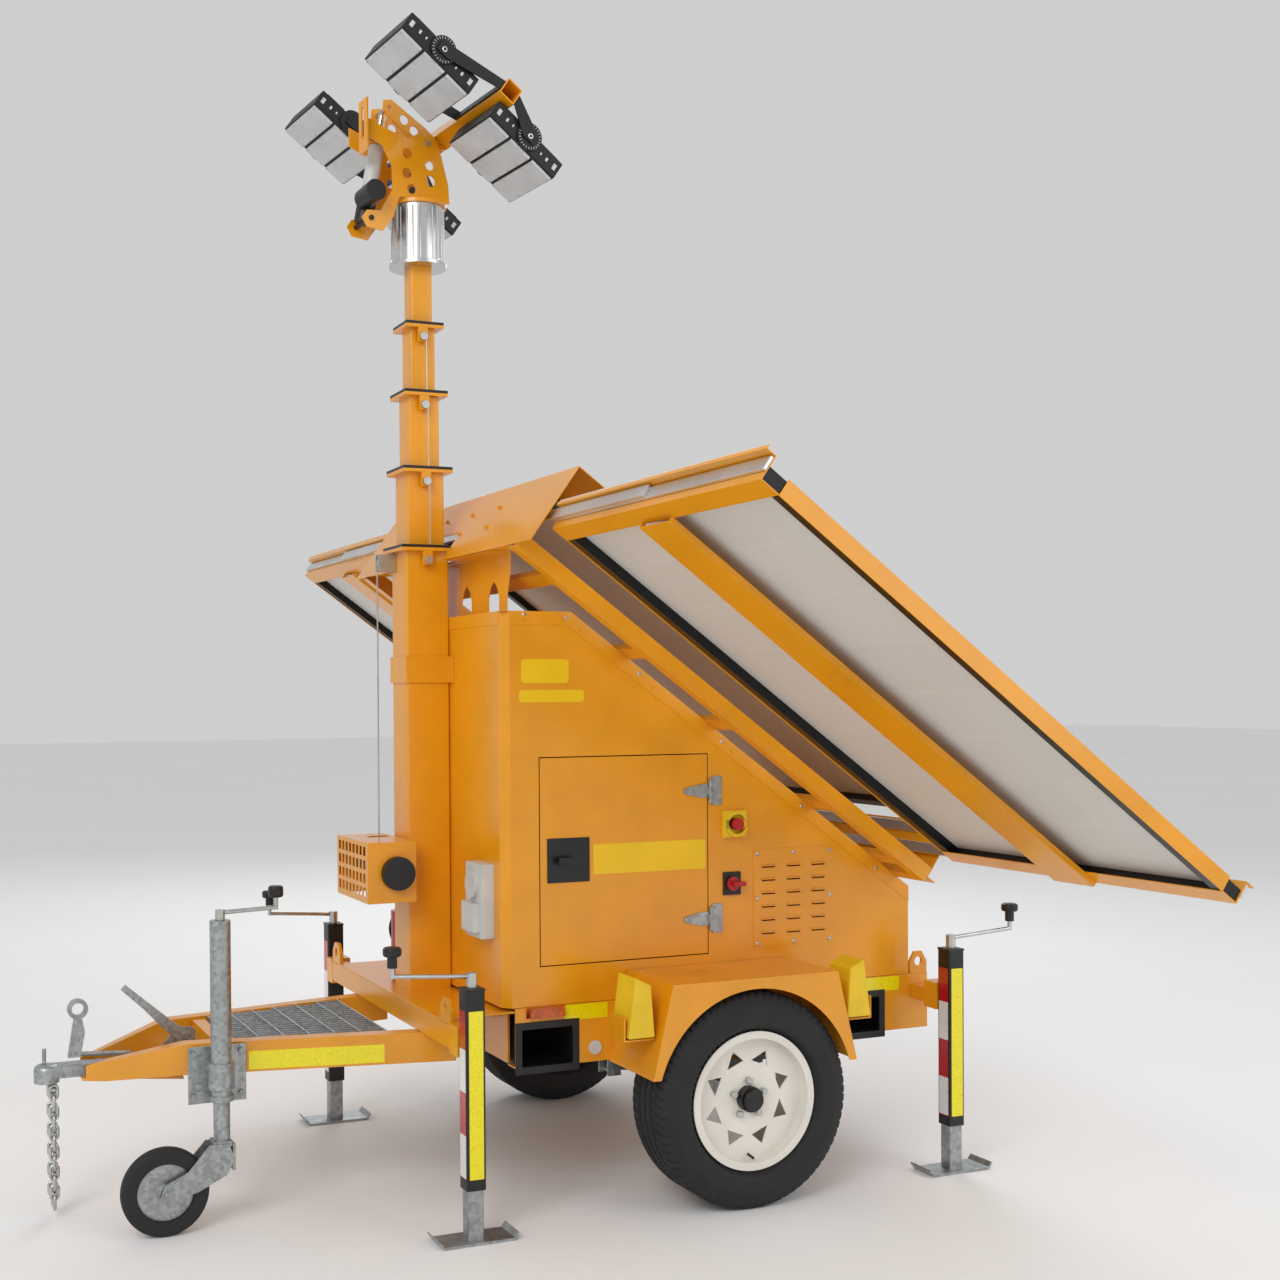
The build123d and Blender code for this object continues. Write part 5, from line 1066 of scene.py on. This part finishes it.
def shell_screws(axle, side):
    """Pan-head screws down the sloped cover and round the louvred plate, on both sides."""
    places = [(-0.618, 1.763), (-0.480, 1.757), (-0.236, 1.588), (0.054, 1.376), (0.342, 1.165),
              (0.627, 0.956)]
    places += [(x, z) for x in (0.177, 0.311, 0.445) for z in (0.738, 1.021)]
    places += [(x, 0.880) for x in (0.177, 0.445)]
    heads = []
    for x, z in places:
        on_louvre = z < 1.05 and 0.1 < x < 0.46
        out = abs(side) + (0.002 if on_louvre else 0.0)
        for way in (-1, 1):
            heads.append(screw_head((axle + x, way * out, z), (0, way, 0), 0.0068, 0.004))
    new_piece("cabinet_screws", *join_arrays(heads), "zinc", "cabinet_shell")


def drawbar_tape(axle):
    """Yellow tape along the outer faces of the drawbar rails, where the rails flare."""
    low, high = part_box("drawbar_rails")
    ends = np.array([[axle - 1.395, 0.2323], [axle - 1.000, 0.3053]])
    tapes = []
    for way in (-1, 1):
        a = np.array([ends[0, 0], way * ends[0, 1], 0])
        b = np.array([ends[1, 0], way * ends[1, 1], 0])
        along = (b - a) / np.linalg.norm(b - a)
        out = np.array([-along[1], along[0], 0]) * way
        middle = (a + b) / 2 + np.array([0, 0, (low.z + high.z) / 2]) + out * 0.0002
        outline = rounded_outline(np.linalg.norm(b - a), 0.054, 0.002)
        tapes.append(prism(outline, middle, along, (0, 0, 1), out * TAPE_THICK))
    new_piece("drawbar_tape", *join_arrays(tapes), "tape_yellow", "drawbar_rails")


# ------------------------------------------------------------------ stage
def camera_axes(stage):
    """Right, up and forward directions of the camera from its yaw, pitch and roll."""
    forward = np.array([math.sin(stage.yaw) * math.cos(stage.pitch),
                        math.cos(stage.yaw) * math.cos(stage.pitch), math.sin(stage.pitch)])
    right = np.array([math.cos(stage.yaw), -math.sin(stage.yaw), 0.0])
    up = np.cross(right, forward)
    rolled = math.cos(stage.roll) * right + math.sin(stage.roll) * up
    return rolled, -math.sin(stage.roll) * right + math.cos(stage.roll) * up, forward


def area_light(name, place, target, size, power):
    """Square soft light aimed at a point."""
    data = bpy.data.lights.new(name, "AREA")
    data.size = size
    data.energy = power
    obj = bpy.data.objects.new(name, data)
    bpy.context.scene.collection.objects.link(obj)
    obj.location = place
    obj.rotation_euler = (Vector(target) - Vector(place)).to_track_quat("-Z", "Y").to_euler()


def make_camera(stage):
    """Camera at the stage's place, turned by its yaw, pitch and roll."""
    camera = bpy.data.objects.new("camera", bpy.data.cameras.new("camera"))
    bpy.context.scene.collection.objects.link(camera)
    right, up, forward = camera_axes(stage)
    turn = Matrix((right, up, -forward)).transposed()
    camera.matrix_world = Matrix.Translation(Vector(stage.place)) @ turn.to_4x4()
    camera.data.sensor_width = 36.0
    camera.data.lens = stage.lens
    camera.data.shift_x = stage.shift_x
    camera.data.shift_y = stage.shift_y
    camera.data.clip_end = 300.0
    bpy.context.scene.camera = camera


def make_floor(side):
    """Square pale floor on the ground, centred under the trailer."""
    half = side / 2
    floor_mesh = bpy.data.meshes.new("floor")
    floor_mesh.from_pydata([(sx * half, sy * half, 0) for sx, sy in CORNERS], [], [(0, 1, 2, 3)])
    floor = bpy.data.objects.new("floor", floor_mesh)
    bpy.context.scene.collection.objects.link(floor)
    floor_mesh.materials.append(finish_surface("painted_studio_floor", "#F4F4F4", 0.85, spread=0.01,
                                               bump=0.0, cloud_mm=2000))


def make_stage():
    """Pale floor, soft lights and the camera."""
    stage = bpy.context.scene.trailer_stage
    make_camera(stage)
    make_floor(stage.floor_size)
    world = bpy.data.worlds.new("studio")
    world.use_nodes = True
    sky = world.node_tree.nodes["Background"]
    sky.inputs["Color"].default_value = (1.0, 1.0, 1.0, 1.0)
    sky.inputs["Strength"].default_value = 0.62
    bpy.context.scene.world = world
    area_light("key", (-5.5, -5.5, 6.0), (0, 0, 1.2), 4.0, 260)
    area_light("fill", (5.0, -6.0, 3.5), (0, 0, 1.0), 5.0, 110)
    area_light("rim", (3.0, 6.0, 5.5), (0, 0, 1.6), 4.0, 150)
    bpy.context.scene.view_settings.view_transform = "Standard"


# ------------------------------------------------------------------ add-on
class TRAILER_OT_stage(bpy.types.Operator):
    """Make the floor, the soft lights and the camera"""

    bl_idname = "trailer.stage"
    bl_label = "Stage"

    def execute(self, context):
        make_stage()
        return {"FINISHED"}


class TRAILER_OT_painted(bpy.types.Operator):
    """Dress the plain painted and plated parts"""

    bl_idname = "trailer.painted"
    bl_label = "Painted steelwork"

    def execute(self, context):
        dress_painted()
        return {"FINISHED"}


class TRAILER_OT_mast(bpy.types.Operator):
    """Dress the mast sections and the rotator drum"""

    bl_idname = "trailer.mast"
    bl_label = "Mast and rotator"

    def execute(self, context):
        dress_mast()
        return {"FINISHED"}


class TRAILER_OT_ropes(bpy.types.Operator):
    """Run the wire ropes up the mast"""

    bl_idname = "trailer.ropes"
    bl_label = "Mast ropes"

    def execute(self, context):
        mast_ropes()
        return {"FINISHED"}


class TRAILER_OT_wheels(bpy.types.Operator):
    """Make the road wheels with treaded tyres"""

    bl_idname = "trailer.wheels"
    bl_label = "Road wheels"

    def execute(self, context):
        dress_wheels()
        return {"FINISHED"}


class TRAILER_OT_wings(bpy.types.Operator):
    """Dress the solar panels and their slides"""

    bl_idname = "trailer.wings"
    bl_label = "Solar wings"

    def execute(self, context):
        dress_wings()
        return {"FINISHED"}


class TRAILER_OT_tray(bpy.types.Operator):
    """Dress the tray under the panels"""

    bl_idname = "trailer.tray"
    bl_label = "Panel tray"

    def execute(self, context):
        dress_tray()
        return {"FINISHED"}


class TRAILER_OT_door(bpy.types.Operator):
    """Dress the cabinet door and its hinges"""

    bl_idname = "trailer.door"
    bl_label = "Cabinet door"

    def execute(self, context):
        dress_door()
        return {"FINISHED"}


class TRAILER_OT_fittings(bpy.types.Operator):
    """Dress the switches, lights, chocks and extinguisher"""

    bl_idname = "trailer.fittings"
    bl_label = "Fittings"

    def execute(self, context):
        dress_fittings()
        return {"FINISHED"}


class TRAILER_OT_jacks(bpy.types.Operator):
    """Dress the four jacks and their cranks"""

    bl_idname = "trailer.jacks"
    bl_label = "Jacks"

    def execute(self, context):
        dress_jacks()
        return {"FINISHED"}


class TRAILER_OT_jockey(bpy.types.Operator):
    """Dress the jockey wheel"""

    bl_idname = "trailer.jockey"
    bl_label = "Jockey wheel"

    def execute(self, context):
        dress_jockey()
        return {"FINISHED"}


class TRAILER_OT_drawbar(bpy.types.Operator):
    """Make the drawbar's step grating"""

    bl_idname = "trailer.drawbar"
    bl_label = "Drawbar grating"

    def execute(self, context):
        dress_drawbar()
        return {"FINISHED"}


class TRAILER_OT_winch(bpy.types.Operator):
    """Dress the winch box"""

    bl_idname = "trailer.winch"
    bl_label = "Winch"

    def execute(self, context):
        dress_winch()
        return {"FINISHED"}


class TRAILER_OT_head(bpy.types.Operator):
    """Dress the turning head and the lamp bar"""

    bl_idname = "trailer.head"
    bl_label = "Lamp head"

    def execute(self, context):
        dress_head()
        return {"FINISHED"}


class TRAILER_OT_lamps(bpy.types.Operator):
    """Make the flood lamps"""

    bl_idname = "trailer.lamps"
    bl_label = "Flood lamps"

    def execute(self, context):
        dress_lamps()
        return {"FINISHED"}


class TRAILER_OT_plates(bpy.types.Operator):
    """Lay the blank plates, tape and screws"""

    bl_idname = "trailer.plates"
    bl_label = "Plates and tape"

    def execute(self, context):
        dress_plates()
        return {"FINISHED"}


OPERATORS = [
    TRAILER_OT_stage,
    TRAILER_OT_painted,
    TRAILER_OT_mast,
    TRAILER_OT_ropes,
    TRAILER_OT_wheels,
    TRAILER_OT_wings,
    TRAILER_OT_tray,
    TRAILER_OT_door,
    TRAILER_OT_fittings,
    TRAILER_OT_jacks,
    TRAILER_OT_jockey,
    TRAILER_OT_drawbar,
    TRAILER_OT_winch,
    TRAILER_OT_head,
    TRAILER_OT_lamps,
    TRAILER_OT_plates,
]


class TRAILER_PT_panel(bpy.types.Panel):
    """Lists the trailer's building steps."""

    bl_idname = "TRAILER_PT_panel"
    bl_label = "Lighting tower trailer"
    bl_space_type = "VIEW_3D"
    bl_region_type = "UI"
    bl_category = "Trailer"

    def draw(self, context):
        for operator in OPERATORS:
            self.layout.operator(operator.bl_idname)


CLASSES = [TrailerFinish, TrailerStage, *OPERATORS, TRAILER_PT_panel]


def register():
    """Registers the classes and the scene's property groups."""
    for cls in CLASSES:
        bpy.utils.register_class(cls)
    bpy.types.Scene.trailer_finish = bpy.props.PointerProperty(type=TrailerFinish)
    bpy.types.Scene.trailer_stage = bpy.props.PointerProperty(type=TrailerStage)


def unregister():
    """Removes what register added."""
    del bpy.types.Scene.trailer_stage
    del bpy.types.Scene.trailer_finish
    for cls in reversed(CLASSES):
        bpy.utils.unregister_class(cls)


def main():
    """Registers the add-on, makes the materials and builds every piece."""
    register()
    make_materials()
    for operator in OPERATORS:
        group, name = operator.bl_idname.split(".")
        getattr(getattr(bpy.ops, group), name)()


if __name__ == "__main__":
    main()
